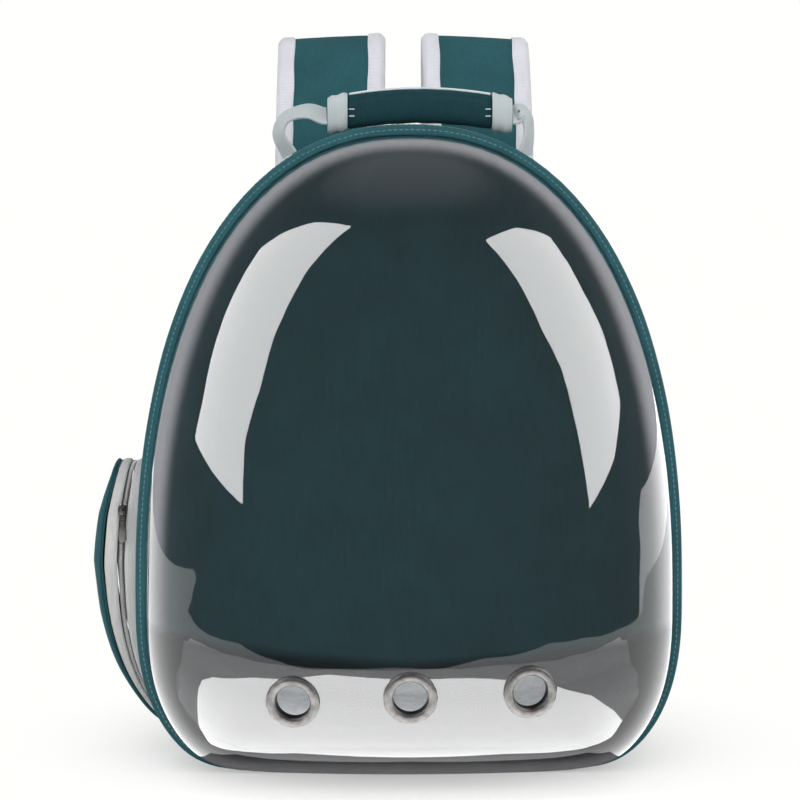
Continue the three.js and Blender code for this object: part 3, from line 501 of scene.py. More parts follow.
def outline_angles():
    corner = math.atan2(settings("body").widest_z, half_width_at(0))
    return np.concatenate([
        np.linspace(0, math.pi, TOP_STEPS, endpoint=False),
        np.linspace(math.pi, math.pi + corner, SIDE_STEPS, endpoint=False),
        np.linspace(math.pi + corner, 2 * math.pi - corner, BASE_STEPS, endpoint=False),
        np.linspace(2 * math.pi - corner, 2 * math.pi, SIDE_STEPS, endpoint=False),
    ])


def outline_radius(angle, inset, lift=None):
    """Distance from the widest height out to the outline, with the underside cut off flat."""
    body = settings("body")
    lift = inset if lift is None else lift
    side, rise = np.cos(angle), np.sin(angle)
    power = np.where(rise >= 0, UPPER_POWER, LOWER_POWER)
    reach = np.where(rise >= 0, body.height - body.widest_z, lower_depth()) - inset
    across = np.abs(side / (body.half_width - inset)) ** power
    curve = (across + np.abs(rise / reach) ** power) ** (-1 / power)
    floor = (body.widest_z - lift) / np.maximum(-rise, 1e-6)
    cut = (curve ** -float(CORNER_POWER) + floor ** -float(CORNER_POWER)) ** (-1 / CORNER_POWER)
    return np.where(rise >= 0, curve, cut)


def outline_ring(y, inset, lift=None):
    angles = outline_angles()
    radius = outline_radius(angles, inset, lift)
    return np.stack([radius * np.cos(angles), np.full_like(angles, y),
                     settings("body").widest_z + radius * np.sin(angles)], axis=1)


def outward(ring):
    """Directions that point away from the body at each point of one of its rings."""
    along = unit(np.roll(ring, -1, 0) - np.roll(ring, 1, 0))
    return unit(np.cross(along, np.array([0, 1.0, 0])) * -1)


# Finishes

class Value:
    """A number or colour that runs through a finish. Arithmetic on it adds Math nodes."""

    def __init__(self, finish, socket):
        self.finish, self.socket = finish, socket

    def maths(self, operation, *values):
        return self.finish.add("ShaderNodeMath", {"operation": operation}, dict(enumerate((self, *values))))

    def __add__(self, other):
        return self.maths("ADD", other)

    def __sub__(self, other):
        return self.maths("SUBTRACT", other)

    def __rsub__(self, other):
        return self.maths("MULTIPLY", -1) + other

    def __mul__(self, other):
        return self.maths("MULTIPLY", other)

    def __truediv__(self, other):
        return self.maths("DIVIDE", other)

    def __pow__(self, other):
        return self.maths("POWER", other)

    __radd__, __rmul__ = __add__, __mul__

    def wave(self):
        """0 at whole numbers and 1 between them."""
        return (self * math.pi).maths("SINE").maths("ABSOLUTE")

    def between(self, low, high):
        """0 below low and 1 above high, smooth between."""
        return self.finish.add("ShaderNodeMapRange", {"interpolation_type": "SMOOTHSTEP"},
                               {0: self, 1: low, 2: high, 3: 0.0, 4: 1.0})


class Finish:
    """One material, or the world's light, made a node at a time."""

    def __init__(self, name, world=None):
        self.material = world or bpy.data.materials.new(name)
        self.material.use_nodes = True
        self.nodes, self.links = self.material.node_tree.nodes, self.material.node_tree.links
        self.nodes.clear()

    def add(self, kind, choices=None, inputs=None, output=0):
        """Adds a node with its settings, then the values or links of its sockets."""
        node = self.nodes.new(kind)
        for key, value in (choices or {}).items():
            setattr(node, key, value)
        for key, value in (inputs or {}).items():
            socket = node.inputs[key]
            if isinstance(value, Value):
                self.links.new(value.socket, socket)
            elif socket.type == "RGBA" and len(value) == 3:
                socket.default_value = (*value, 1)
            else:
                socket.default_value = value
        return None if output is None else Value(self, node.outputs[output])

    def mix(self, first, second, factor):
        return self.add("ShaderNodeMix", {"data_type": "RGBA"}, {0: factor, 6: first, 7: second}, output=2)

    def tint(self, shown, dark, light, factor):
        """A colour that runs from a darker to a lighter tone of itself."""
        return self.mix(tuple(c * dark for c in shown), tuple(min(1, c * light) for c in shown), factor)

    def noise(self, scale, detail=3.0, rough=0.55, stretch=(1, 1, 1)):
        """Noise on the piece's own place, scale in waves to a metre."""
        place = self.add("ShaderNodeTexCoord", output="Object")
        scaled = self.add("ShaderNodeMapping", None, {"Vector": place, "Scale": stretch})
        return self.add("ShaderNodeTexNoise", None,
                        {"Vector": scaled, "Scale": scale, "Detail": detail, "Roughness": rough})

    def flat(self, source="UV"):
        """Two values across the surface: its own UVs, or x and z of its place, in metres."""
        if source == "UV":
            return self.parts(self.add("ShaderNodeUVMap", {"uv_map": "UVMap"}), "XY")
        return self.parts(self.add("ShaderNodeTexCoord", output="Object"), "XZ")

    def parts(self, vector, axes):
        return [self.add("ShaderNodeSeparateXYZ", None, {0: vector}, output=axis) for axis in axes]

    def surface(self, inputs, height=None, depth=0.0002, strength=1.0, output=True):
        if height is not None:
            inputs = dict(inputs, Normal=self.add("ShaderNodeBump", None, {
                "Strength": strength, "Distance": depth, "Height": height}))
        shader = self.add("ShaderNodeBsdfPrincipled", None, inputs)
        return self.finish(shader) if output else shader

    def finish(self, shader):
        self.add("ShaderNodeOutputMaterial", None, {"Surface": shader}, output=None)
        return self.material


def plain_weave(finish, pitch):
    """Height of a plain weave and which thread is on top."""
    u, v = (value / (pitch * MM) for value in finish.flat())
    over = ((u.maths("FLOOR") + v.maths("FLOOR")) * 0.5).maths("FRACT") * 2
    across, along = u.wave(), v.wave()
    height = over * across * (along * 0.4 + 0.6) + (1 - over) * along * (across * 0.4 + 0.6)
    return height, over


def woven(name, shown, pitch=0.85, rough=0.78):
    """Plain woven cloth with slubs, faint creases and soft wear."""
    finish = Finish(name)
    height, over = plain_weave(finish, pitch)
    cloudy = finish.noise(26, 4)
    slub = finish.noise(420, 2, stretch=(1, 1, 0.12))
    # Painted shade: the weave's height term darkens the cloth between the threads; the noises and the top
    # thread give its own tone
    tone = (cloudy * 0.5 + slub * 0.3 + over * 0.1 + height * 0.14).between(0.18, 0.92)
    return finish.surface({
        "Base Color": finish.tint(shown, 0.72, 1.28, tone),
        "Roughness": cloudy * 0.16 + (rough - 0.08),
        "Sheen Weight": 0.02, "Sheen Roughness": 0.45, "Specular IOR Level": 0.06,
    }, height * 0.7 + slub * 0.5 + cloudy * 1.6, 0.28 * MM, 0.8)


def ribbed(name, shown, pitch=1.3, rough=0.7, chevron=0.0):
    """Tape or webbing with ribs across its length, drawn into chevrons for webbing."""
    finish = Finish(name)
    u, v = finish.flat()
    lean = (u / (6 * MM)).maths("FRACT") - 0.5
    rib = (v / (pitch * MM) + lean.maths("ABSOLUTE") * chevron).wave()
    thread = (u / (0.6 * MM)).wave()
    dirt = finish.noise(38, 4)
    # Painted shade: the rib and thread waves darken the grooves between ribs and threads; the dirt noise is
    # the tape's own tone
    tone = (rib * 0.35 + thread * 0.2 + dirt * 0.6).between(0.15, 1.0)
    return finish.surface({
        "Base Color": finish.tint(shown, 0.8, 1.1, tone),
        "Roughness": dirt * 0.15 + (rough - 0.07),
        "Sheen Weight": 0.05, "Sheen Roughness": 0.5, "Specular IOR Level": 0.25,
    }, rib * (thread * 0.3 + 0.7) + dirt * 1.2, 0.3 * MM, 0.8)


def spacer_mesh(name, shown, cell=3.2, source="UV"):
    """Three-layer mesh with a honeycomb of small openings."""
    finish = Finish(name)
    u, v = finish.flat(source)
    nearest = None
    for shift in (0.0, 0.5):
        x = ((u / (cell * MM) + (shift + 50)).maths("FRACT") - 0.5)
        y = ((v / (cell * MM * 1.732) + (shift + 50)).maths("FRACT") - 0.5) * 1.732
        far = (x * x + y * y) ** 0.5
        nearest = far if nearest is None else nearest.maths("MINIMUM", far)
    wall = nearest.between(0.2, 0.36)
    fibre = finish.noise(900, 3)
    # Darker openings: partly the inner layer seen through them, partly painted shade in the holes
    tone = wall * 0.75 + fibre * 0.25
    return finish.surface({
        "Base Color": finish.tint(shown, 0.25, 1.15, tone),
        "Roughness": fibre * 0.1 + 0.75,
        "Sheen Weight": 0.15, "Sheen Roughness": 0.5,
    }, wall + fibre * 0.25, 0.7 * MM, 0.9)


def plush(name, shown):
    """Short plush with clumped pile."""
    finish = Finish(name)
    clump = finish.noise(160, 4)
    pile = finish.noise(1100, 3)
    return finish.surface({
        "Base Color": finish.tint(shown, 0.8, 1.1, (clump * 0.6 + pile * 0.4).between(0.3, 0.7)),
        "Roughness": pile * 0.1 + 0.85,
        "Sheen Weight": 0.5, "Sheen Roughness": 0.6,
    }, clump + pile * 0.6, 1.2 * MM, 0.9)


def twisted_thread(name, shown):
    """Twisted sewing thread."""
    finish = Finish(name)
    fibre = finish.noise(2600, 2)
    return finish.surface({
        "Base Color": finish.tint(shown, 0.75, 1.2, fibre),
        "Roughness": fibre * 0.2 + 0.5, "Sheen Weight": 0.2,
    }, fibre, 0.1 * MM, 0.6)


def moulded(name, shown, rough=0.42, grain=900):
    """Moulded plastic with a fine grain and scuffs."""
    finish = Finish(name)
    fine = finish.noise(grain, 3)
    scuff = finish.noise(55, 5, 0.7).between(0.52, 0.75)
    return finish.surface({
        "Base Color": finish.tint(shown, 0.85, 1.35, fine * 0.3 + scuff * 0.5),
        "Roughness": scuff * 0.18 + fine * 0.08 + rough,
    }, fine + scuff * 0.3, 0.05 * MM, 0.5)


def brushed_metal(name, shown):
    """Pewter-coloured plate, dulled where it is handled."""
    finish = Finish(name)
    dull = finish.noise(240, 4, 0.65)
    scratch = finish.noise(1500, 2, stretch=(1, 0.15, 1))
    return finish.surface({
        "Base Color": finish.tint(shown, 0.55, 1.15, dull.between(0.3, 0.7)),
        "Metallic": 0.92,
        "Roughness": dull * 0.2 + scratch * 0.08 + 0.34,
    }, scratch + dull * 0.5, 0.04 * MM, 0.5)


# Painted shade: the dome's colour darkens over its low rounded edge, a little higher towards the sides
PAINTED_SHADE_TOP, PAINTED_SHADE_BOTTOM, PAINTED_SHADE_LEAN, PAINTED_SHADE_SHARE, LAMP_TINT = 94 * MM, 84 * MM, 0.08, 0.24, 0.3


def smoky_clear(name, shown):
    """Clear tinted plastic, with painted shade darkening its low edge. Lamps shine through it, faintly
    tinted.
    """
    finish = Finish(name)
    smear = finish.noise(14, 4, 0.6, stretch=(1, 1, 0.4))
    wave = finish.noise(5, 1)
    aside, up = finish.flat("place")
    # Painted shade: mask of the low edge, where the dome's colour is darkened
    low = (up - aside.maths("ABSOLUTE") * PAINTED_SHADE_LEAN).between(PAINTED_SHADE_TOP, PAINTED_SHADE_BOTTOM)
    glass = finish.surface({
        "Base Color": finish.mix(shown, tuple(PAINTED_SHADE_SHARE * c for c in shown), low),
        "Roughness": smear.between(0.5, 0.85) * 0.03 + 0.012,
        "IOR": 1.49, "Transmission Weight": 1.0,
    }, wave, 1.2 * MM, 0.25, output=False)
    through = finish.add("ShaderNodeBsdfTransparent", None, {"Color": tuple(c**LAMP_TINT for c in shown)})
    lamp = finish.add("ShaderNodeLightPath", output="Is Shadow Ray")
    return finish.finish(finish.add("ShaderNodeMixShader", None, {0: lamp, 1: glass, 2: through}))


FINISHES = {
    "cloth": lambda c: woven("green_cloth", c.cloth),
    "grip": lambda c: woven("dark_grip_cloth", c.grip),
    "handle_band": lambda c: ribbed("handle_band_tape", c.handle_tape, 1.1),
    "handle_webbing": lambda c: ribbed("handle_webbing", c.handle_tape, 1.7, 0.66, chevron=3.0),
    "thread": lambda c: twisted_thread("green_thread", c.thread),
    "pale_thread": lambda c: twisted_thread("pale_thread", c.binding),
    "binding": lambda c: ribbed("grey_binding_tape", c.binding, 1.1),
    "webbing": lambda c: ribbed("grey_webbing", c.webbing, 1.7, 0.66, chevron=3.0),
    "gusset": lambda c: woven("pale_gusset_cloth", c.gusset, 0.8, 0.74),
    "pad": lambda c: plush("pale_plush", c.pad),
    "mesh": lambda c: spacer_mesh("spacer_mesh", c.mesh),
    "mesh_flat": lambda c: spacer_mesh("spacer_mesh_panel", c.mesh, source="place"),
    "tape": lambda c: woven("zip_tape_cloth", c.tape, 0.55, 0.7),
    "coil": lambda c: moulded("zip_coil_plastic", c.coil, 0.35, 1500),
    "dome": lambda c: smoky_clear("smoky_clear", c.dome),
    "pewter": lambda c: brushed_metal("pewter_metal", c.pewter),
    "plastic": lambda c: moulded("buckle_plastic", c.plastic),
}


def finish_of(name):
    """The material of that name, made once."""
    found = bpy.data.materials.get("made_" + name)
    if found is None:
        found = FINISHES[name](settings("colours"))
        found.name = "made_" + name
    return found


# Body

FRONT_GAP, ZIP_SEAT, LIP_DEPTH, FRAME_WALL, PIPING_RADIUS = 0.3 * MM, 1.8 * MM, 3 * MM, 3.2 * MM, 1.9 * MM
PANEL_SHARES = (0.94, 0.8, 0.6, 0.4, 0.2, 0.05)
# Share of the depth, then shares of the back round drawn in at the sides and lifted at the base
SHELL_ROWS = ((0.16, 0.02, 0), (0.45, 0, 0), (0.78, 0.06, 0), (0.9, 0.2, 0), (0.965, 0.5, 0.25), (1, 1, 0.9))


def frame_rear():
    body = settings("body")
    return body.frame_depth - body.front


def panel_rings(ring, shares, bulge):
    """Rings that close a flat end, each a share of the rim's size, standing off by the bulge."""
    middle = np.array([0, 0, (ring[:, 2].max() + ring[:, 2].min()) / 2])
    out = []
    for part in shares:
        inner = middle + (ring - middle) * np.array([part, 1, part])
        inner[:, 1] = ring[:, 1] + bulge * (1 - part**3)
        out.append(inner)
    return out


class CARRIER_OT_shell(bpy.types.Operator):
    """Makes the hollow cloth shell with its flat base and piped back edge"""
    bl_idname = "carrier.shell"
    bl_label = "Shell"

    def execute(self, context):
        body = settings("body")
        start = frame_rear() + FRONT_GAP
        depth = body.back - start
        zip_rear = start + body.zip_width / 2 + FRONT_GAP
        table = np.array(SHELL_ROWS)
        along = np.concatenate([np.linspace(0.12, 0.76, 9), np.linspace(0.8, 1, 11)])
        inset = np.interp(along, table[:, 0], table[:, 1]) * body.back_round
        lift = np.interp(along, table[:, 0], table[:, 2]) * body.back_round
        outer = [outline_ring(start, ZIP_SEAT, 0), outline_ring(zip_rear - 0.4 * MM, ZIP_SEAT, 0),
                 outline_ring(zip_rear, 0.5 * MM, 0)]
        for a, i, l in zip(along, inset, lift):
            ring = outline_ring(start + a * depth, i, l)
            side = outward(ring)
            slack = ripple(ring) * 0.8 * MM * math.sin(math.pi * min(1, a)) ** 0.5
            raised = np.clip((ring[:, 2] - 0.02) / 0.06, 0, 1)
            outer.append(ring + side * (slack * raised)[:, None])
        outer += panel_rings(outer[-1], PANEL_SHARES, 0.4 * MM)
        hollow = depth - body.wall
        inner = [outline_ring(start, ZIP_SEAT + body.wall, body.wall)]
        inner += [outline_ring(start + a * hollow, i + body.wall) for a, i in zip(along[::2], inset[::2])]
        inner.append(outline_ring(start + hollow, body.back_round + body.wall))
        inner += panel_rings(inner[-1], PANEL_SHARES, 0)
        shell = drawn_out("shell_cloth", [*outer[::-1], *inner], ends="point", smooth=50)
        finished(shell, finish_of("cloth"), ["shell"])
        edge = outline_ring(start + 0.955 * depth, 0.36 * body.back_round, 0.2 * body.back_round)
        edge += outward(edge) * 0.9 * MM
        piping = cord_round("shell_back_piping", edge, (0, 1, 0), PIPING_RADIUS, closed=True)
        finished(piping, finish_of("cloth"))
        seam = outline_ring(start + 0.86 * depth, 0.15 * body.back_round, 0)
        seam = seam[seam[:, 2] > 4 * MM]
        stitched("shell_stitching", [seam], [outward(outline_ring(0, 0))[: len(seam)]],
                 finish_of("thread"))
        return {"FINISHED"}


class CARRIER_OT_front_frame(bpy.types.Operator):
    """Makes the padded cloth frame with its soft lip round the dome"""
    bl_idname = "carrier.front_frame"
    bl_label = "Front frame"

    def execute(self, context):
        body = settings("body")
        rear, front, lip = frame_rear(), -body.front, body.lip_width
        notch = rear - body.zip_width / 2 - FRONT_GAP
        profile = rounded([
            (rear, ZIP_SEAT), (notch, ZIP_SEAT), (notch - 1.2 * MM, 0), (front + 4 * MM, -0.3 * MM),
            (front, 0.2 * MM), (front - 0.7 * MM, lip * 0.5), (front, lip), (front + LIP_DEPTH, lip),
            (front + LIP_DEPTH, FRAME_WALL), (rear, FRAME_WALL),
        ], 1.7 * MM)
        rings = []
        for y, inset in profile:
            ring = outline_ring(y, inset)
            rings.append(ring + outward(ring) * (ripple(ring, 1.4) * 0.25 * MM)[:, None])
        frame_piece = drawn_out("front_frame_cloth", rings, hoop=True, smooth=60)
        finished(frame_piece, finish_of("cloth"), ["front_frame"])
        for name, inset, y in (("lip", lip * 0.5, front - 0.62 * MM), ("side", -0.1 * MM, rear - 10 * MM)):
            ring = outline_ring(y, inset)
            rise = np.array([0, -1.0, 0]) if name == "lip" else outward(ring)
            keep = ring[:, 2] > 12 * MM
            turn = int(np.argmin(keep))
            order = np.roll(np.arange(len(ring)), -turn)
            order = order[keep[order]]
            stitched(f"front_frame_{name}_stitching", [ring[order]], [rise if name == "lip" else rise[order]],
                     finish_of("thread"))
        return {"FINISHED"}


# Dome

TOP_POWER, SIDE_POWER, BOTTOM_POWER = 2.1, 2.35, 3.5
DOME_SEAT, FLANGE_INSET, FLANGE_THICK, RING_WALL = 0.3 * MM, 3.6 * MM, 2 * MM, 1.2 * MM
# Name of a vent, its place across in pitches and its rise in millimetres
VENTS = (("left", -1, -2.5), ("centre", -0.02, 0.5), ("right", 0.98, 3.5))


def dome_front():
    return -settings("body").front + LIP_DEPTH + DOME_SEAT


def dome_inset():
    return settings("body").lip_width + DOME_SEAT


def dome_power(rise):
    """The dome is blunt towards the floor and slopes off towards the top."""
    return SIDE_POWER + (np.where(rise > 0, TOP_POWER, BOTTOM_POWER) - SIDE_POWER) * rise * rise


def dome_rings(inset, reach, turns):
    rim = outline_ring(0, inset)
    side, up = rim[:, 0], rim[:, 2] - settings("dome").peak_z
    power = dome_power(up / np.hypot(side, up))
    out = []
    for turn in turns:
        spread = max(0.0, math.cos(turn)) ** (2 / power)
        depth = math.sin(turn) ** (2 / power)
        out.append(np.stack([side * spread, dome_front() - reach * depth,
                             settings("dome").peak_z + up * spread], axis=1))
    return out


def dome_depth(x, z):
    """How far the dome stands in front of its rim above a point of the front plane."""
    up = z - settings("dome").peak_z
    far = math.hypot(x, up)
    power = float(dome_power(up / max(far, 1e-9)))
    near, wide = 0.0, settings("body").height
    for _ in range(40):
        radius = (near + wide) / 2
        px = radius * x / far
        pz = settings("dome").peak_z + radius * up / far - settings("body").widest_z
        inside = math.hypot(px, pz) < float(outline_radius(math.atan2(pz, px), dome_inset()))
        near, wide = (radius, wide) if inside else (near, radius)
    return settings("dome").reach * (1 - min(1.0, far / near) ** power) ** (1 / power)


def vent_seat(across, rise):
    """Centre and outward direction of a vent on the dome."""
    dome, step = settings("dome"), 1 * MM
    x, z = across * dome.pitch, dome.vent_z + rise * MM
    slope_x = (dome_depth(x + step, z) - dome_depth(x - step, z)) / (2 * step)
    slope_z = (dome_depth(x, z + step) - dome_depth(x, z - step)) / (2 * step)
    return np.array([x, dome_front() - dome_depth(x, z), z]), unit(np.array([-slope_x, -1, -slope_z]))


def turned_profile(name, profile, centre, axis, steps=64, **choices):
    """A ring turned about an axis from a closed profile of radius and height."""
    first = unit(np.cross(axis, [1.0, 0, 0]))
    second = np.cross(axis, first)
    angle = np.linspace(0, 2 * math.pi, steps, endpoint=False)
    circle = np.outer(np.cos(angle), first) + np.outer(np.sin(angle), second)
    return drawn_out(name, [centre + circle * r + axis * h for r, h in profile], hoop=True, **choices)


class CARRIER_OT_dome(bpy.types.Operator):
    """Makes the clear dome as one thin wall with its flange and three vent holes"""
    bl_idname = "carrier.dome"
    bl_label = "Dome"

    def execute(self, context):
        dome = settings("dome")
        turns = np.sin(np.linspace(0, 1, 44) * math.pi / 2) * math.pi / 2 * 0.999
        outer = dome_rings(dome_inset(), dome.reach, turns)
        inner = dome_rings(dome_inset() + dome.wall, dome.reach - dome.wall, turns)
        front, rear = dome_front(), dome_front() + FLANGE_THICK
        rings = [*outer[::-1], outline_ring(front, FLANGE_INSET), outline_ring(rear, FLANGE_INSET),
                 outline_ring(rear, dome_inset() + dome.wall), *inner]
        clear = drawn_out("dome_clear", rings, ends="point", smooth=40)
        for _, across, rise in VENTS:
            centre, axis = vent_seat(across, rise)
            cutter = added("vent_cutter", "cylinder", vertices=72, radius=dome.bore / 2 + 1.5 * MM,
                           depth=30 * MM)
            cutter.rotation_mode = "QUATERNION"
            cutter.rotation_quaternion = Vector(axis).to_track_quat("Z", "Y")
            cutter.location = centre
            bpy.context.view_layer.update()
            applied(clear, "BOOLEAN", operation="DIFFERENCE", solver="EXACT", object=cutter)
            bpy.data.objects.remove(cutter)
        only(clear)
        bpy.ops.object.shade_smooth_by_angle(angle=math.radians(40))
        finished(clear, finish_of("dome"), ["dome"])
        return {"FINISHED"}


class CARRIER_OT_vents(bpy.types.Operator):
    """Makes the three rolled metal rings of the vents"""
    bl_idname = "carrier.vents"
    bl_label = "Vent rings"

    def execute(self, context):
        dome = settings("dome")
        bore, ring = dome.bore / 2, dome.ring / 2
        neck, washer = bore + RING_WALL, ring * 0.88
        profile = rounded([
            (bore, -5.4 * MM), (washer, -5.4 * MM), (washer, -4.6 * MM), (neck, -4.6 * MM), (neck, 0.3 * MM),
            (ring, 0.3 * MM), (ring, 1.1 * MM), ((bore + ring) / 2 + MM, 2.3 * MM), (neck, 2.1 * MM),
            (bore, 0.8 * MM),
        ], 1.1 * MM)
        for name, across, rise in VENTS:
            centre, axis = vent_seat(across, rise)
            piece = turned_profile("vent_ring_" + name, profile, centre, axis, smooth=60)
            finished(piece, finish_of("pewter"), ["vent_eyelet_" + name])
        return {"FINISHED"}


# Zips

def slider(name, origin, along, up, long=11, pull=18, wide=8):
    """A zip slider lying along its zip: body, bridge and a pull with a hole. Sizes in millimetres."""
    along, up = unit(np.asarray(along, float)), unit(np.asarray(up, float))
    across = np.cross(up, along)

    def place(a, c, h):
        return origin + along * a * MM + across * c * MM + up * h * MM

    body = []
    for a, half, low, high in ((0, 0.7, 0.4, 1.4), (0.6, 0.95, 0.1, 1.8), (long * 0.45, 1, 0, 2),
                               (long * 0.85, 0.72, 0.1, 1.8), (long, 0.5, 0.4, 1.4)):
        w = half * wide / 2
        body.append([place(a, c, h) for c, h in
                     rounded([(-w, low), (w, low), (w * 0.92, high), (-w * 0.92, high)], 0.5, 3)])
    pieces = [drawn_out(name, body, smooth=50)]
    arch = smooth_line([place(1.2, 0, 1.8), place(2.2, 0, 3.0), place(long * 0.6, 0, 3.1),
                        place(long * 0.78, 0, 1.8)], 14)
    pieces.append(swept(name + "_bridge", stations(arch, across),
                        lambda i: flat_section(0.9 * MM, 0.35 * MM, 0.3 * MM, 2), smooth=50))
    tab = rounded([(0, -1.7), (pull * 0.35, -1.5), (pull * 0.6, -2.6), (pull, -2.6), (pull + 1.4, 0),
                   (pull, 2.6), (pull * 0.6, 2.6), (pull * 0.35, 1.5), (0, 1.7)], 1.0, 3)
    turn = np.linspace(math.pi, -math.pi, len(tab), endpoint=False) + 0.4
    hole = np.stack([2.2 + 0.9 * np.cos(-turn), 0.9 * np.sin(-turn)], axis=1)
    order = np.argsort(np.arctan2(tab[:, 1], tab[:, 0] - 2.2))
    hole_order = np.argsort(np.arctan2(hole[:, 1], hole[:, 0] - 2.2))
    tab, hole = tab[order], hole[hole_order]
    start = long * 0.62 + 1.2

    def level(points, h):
        return [place(start + a, c, h) for a, c in points]

    pieces.append(drawn_out(name + "_pull", [level(tab * 0.97, 1.9), level(tab, 2.1), level(tab, 2.9),
                                             level(tab * 0.97, 3.1), level(hole, 3.1), level(hole, 1.9)],
                            hoop=True, smooth=40))
    return joined(name, pieces)


def zip_angles(count):
    corner = math.atan2(settings("body").widest_z, half_width_at(0, ZIP_SEAT))
    return np.linspace(-corner * 4 / 7, math.pi + corner * 4 / 7, count)


class CARRIER_OT_main_zip(bpy.types.Operator):
    """Makes the zip between frame and shell: tape, interlocked coil and two sliders"""
    bl_idname = "carrier.main_zip"
    bl_label = "Main zip"

    def execute(self, context):
        body = settings("body")
        middle, half = frame_rear() + FRONT_GAP / 2, body.zip_width / 2
        angles = zip_angles(150)

        def line(y, inset, turns=angles):
            radius = outline_radius(turns, inset, 0)
            return np.stack([radius * np.cos(turns), np.full_like(turns, y),
                             body.widest_z + radius * np.sin(turns)], axis=1)

        section = rounded([(-half, 1.5), (half, 1.5), (half, 0.5), (half * 0.33, 0.3), (-half * 0.33, 0.3),
                           (-half, 0.5)] * np.array([1, MM]), 0.3 * MM, 2)
        rings = np.stack([line(middle + y, inset) for y, inset in section], axis=1)
        tape = drawn_out("main_zip_tape", rings, smooth=50)
        finished(tape, finish_of("tape"), ["main_zip"])
        path = line(middle, 0)
        count = int(np.linalg.norm(np.diff(path, axis=0), axis=1).sum() / (1.15 * MM))
        spots = even(path, count)
        spots[:, 1] += np.where(np.arange(count) % 2, 0.55 * MM, -0.55 * MM)
        rise = np.cross(unit(np.gradient(spots[:, [0, 2]], axis=0))[:, [0, 0, 1]] * [1, 0, 1], [0, 1.0, 0])
        rise *= np.sign((rise * (spots - [0, 0, body.widest_z])).sum(1, keepdims=True))
        teeth = repeated("main_zip_coil", pattern_block(3.4 * MM, 0.85 * MM, 0.9 * MM, 0.25 * MM), spots,
                         np.broadcast_to([0, 1.0, 0], spots.shape), rise)
        finished(teeth, finish_of("coil"))
        for name, side in SIDES:
            x = np.array([1.5, 16.0]) * MM * side
            low = np.stack([x, np.full(2, middle), top_at(x) + 0.4 * MM], axis=1)
            along = low[1] - low[0]
            up = np.cross(along, [0, 1.0, 0]) * -side
            piece = slider("main_slider_" + name, low[0], along, up)
            finished(piece, finish_of("pewter"), ["zip_slider_" + name])
        return {"FINISHED"}


# Pads

def copy_of(node, name):
    """A joined-up copy of a CAD node's mesh, to be stuffed."""
    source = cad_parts[node]
    obj = placed(name, source.data.copy())
    obj.data.name = name
    obj.data.materials.clear()
    only(obj)
    bpy.ops.object.mode_set(mode="EDIT")
    bpy.ops.mesh.select_all(action="SELECT")
    bpy.ops.mesh.remove_doubles(threshold=1e-5)
    bpy.ops.object.mode_set(mode="OBJECT")
    return obj


class CARRIER_OT_floor_pad(bpy.types.Operator):
    """Makes the plush pad on the carrier's floor"""
    bl_idname = "carrier.floor_pad"
    bl_label = "Floor pad"

    def execute(self, context):
        low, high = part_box("floor_pad")
        pad = copy_of("floor_pad", "floor_pad_plush")
        stuffed(pad, 5 * MM, 2.5, 3 * MM, lambda co: co[2] < low.z + 4 * MM or co[1] > high.y - 4 * MM)
        shape(pad, lambda co: co + (ripple(co, 2) * (co[:, 2] > low.z + 8 * MM))[:, None]
              * np.array([0, 0, 1.2 * MM]))
        shape(pad, lambda co: np.clip(co, np.array(low), np.array(high)))
        finished(pad, finish_of("pad"), ["floor_pad"])
        return {"FINISHED"}


class CARRIER_OT_back_pad(bpy.types.Operator):
    """Makes the stuffed back panel with its sewn channels"""
    bl_idname = "carrier.back_pad"
    bl_label = "Back pad"

    def execute(self, context):
        low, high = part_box("back_pad")
        pad = copy_of("back_pad", "back_pad_mesh")
        stuffed(pad, 4 * MM, 4, 5 * MM, lambda co: co[1] < low.y + 2 * MM)
        middle = (low.z + high.z) / 2
        tall = (high.z - low.z) / 2

        def channels(co):
            co = co.copy()
            co[:, 1] = np.maximum(co[:, 1], low.y)
            raised = co[:, 1] > low.y + 3 * MM
            depth = np.exp(-(co[:, 0] / (4 * MM)) ** 2) * (np.abs(co[:, 2] - middle) < tall * 0.86)
            for place in (-0.5, 0.0, 0.5):
                line = middle + place * tall + np.abs(co[:, 0]) * 0.22
                depth = np.maximum(depth, np.exp(-((co[:, 2] - line) / (3.5 * MM)) ** 2)
                                   * (np.abs(co[:, 0]) < high.x * 0.82))
            co[:, 1] -= raised * depth * 5.5 * MM
            return co

        shape(pad, channels)
        finished(pad, finish_of("mesh_flat"), ["back_pad"])
        return {"FINISHED"}


# Shoulder straps

# Shares of the strap's reach, of its climb from root to crest and of its width
STRAP_PATH = ((0, 0, 1), (0, 0.14, 1), (0.07, 0.4, 1), (0.22, 0.7, 1), (0.4, 0.91, 1), (0.6, 1, 1),
              (0.8, 0.9, 1), (0.95, 0.6, 0.99), (1, 0.15, 0.96), (0.97, -0.35, 0.92), (0.88, -0.8, 0.88),
              (0.76, -1.15, 0.84))
STRAP_SPLAY, STRAP_ROLL, TAPE_THICK, SEAT = 5 * MM, 0.05, 1.1 * MM, 0.4 * MM


def strap_face():
    return settings("body").back + SEAT + settings("straps").thick / 2 + TAPE_THICK + FRONT_GAP


def strap_places(side):
    """Stations of a strap from its root to its lower end, and its width at each."""
    strap, count = settings("straps"), 90
    climb = strap.crest_z - strap.root_z - strap.thick / 2 - TAPE_THICK - FRONT_GAP
    table = np.array(STRAP_PATH)
    points = [(side * (strap.middle_x + STRAP_SPLAY * (1 - up) * 0.5), strap_face() + out * strap.out,
               strap.root_z + up * climb) for out, up, _ in STRAP_PATH]
    places = stations(smooth_line(points, count), (1, 0, -side * STRAP_ROLL))
    width = np.interp(np.linspace(0, len(table) - 1, count), range(len(table)), table[:, 2]) * strap.width
    return places, width


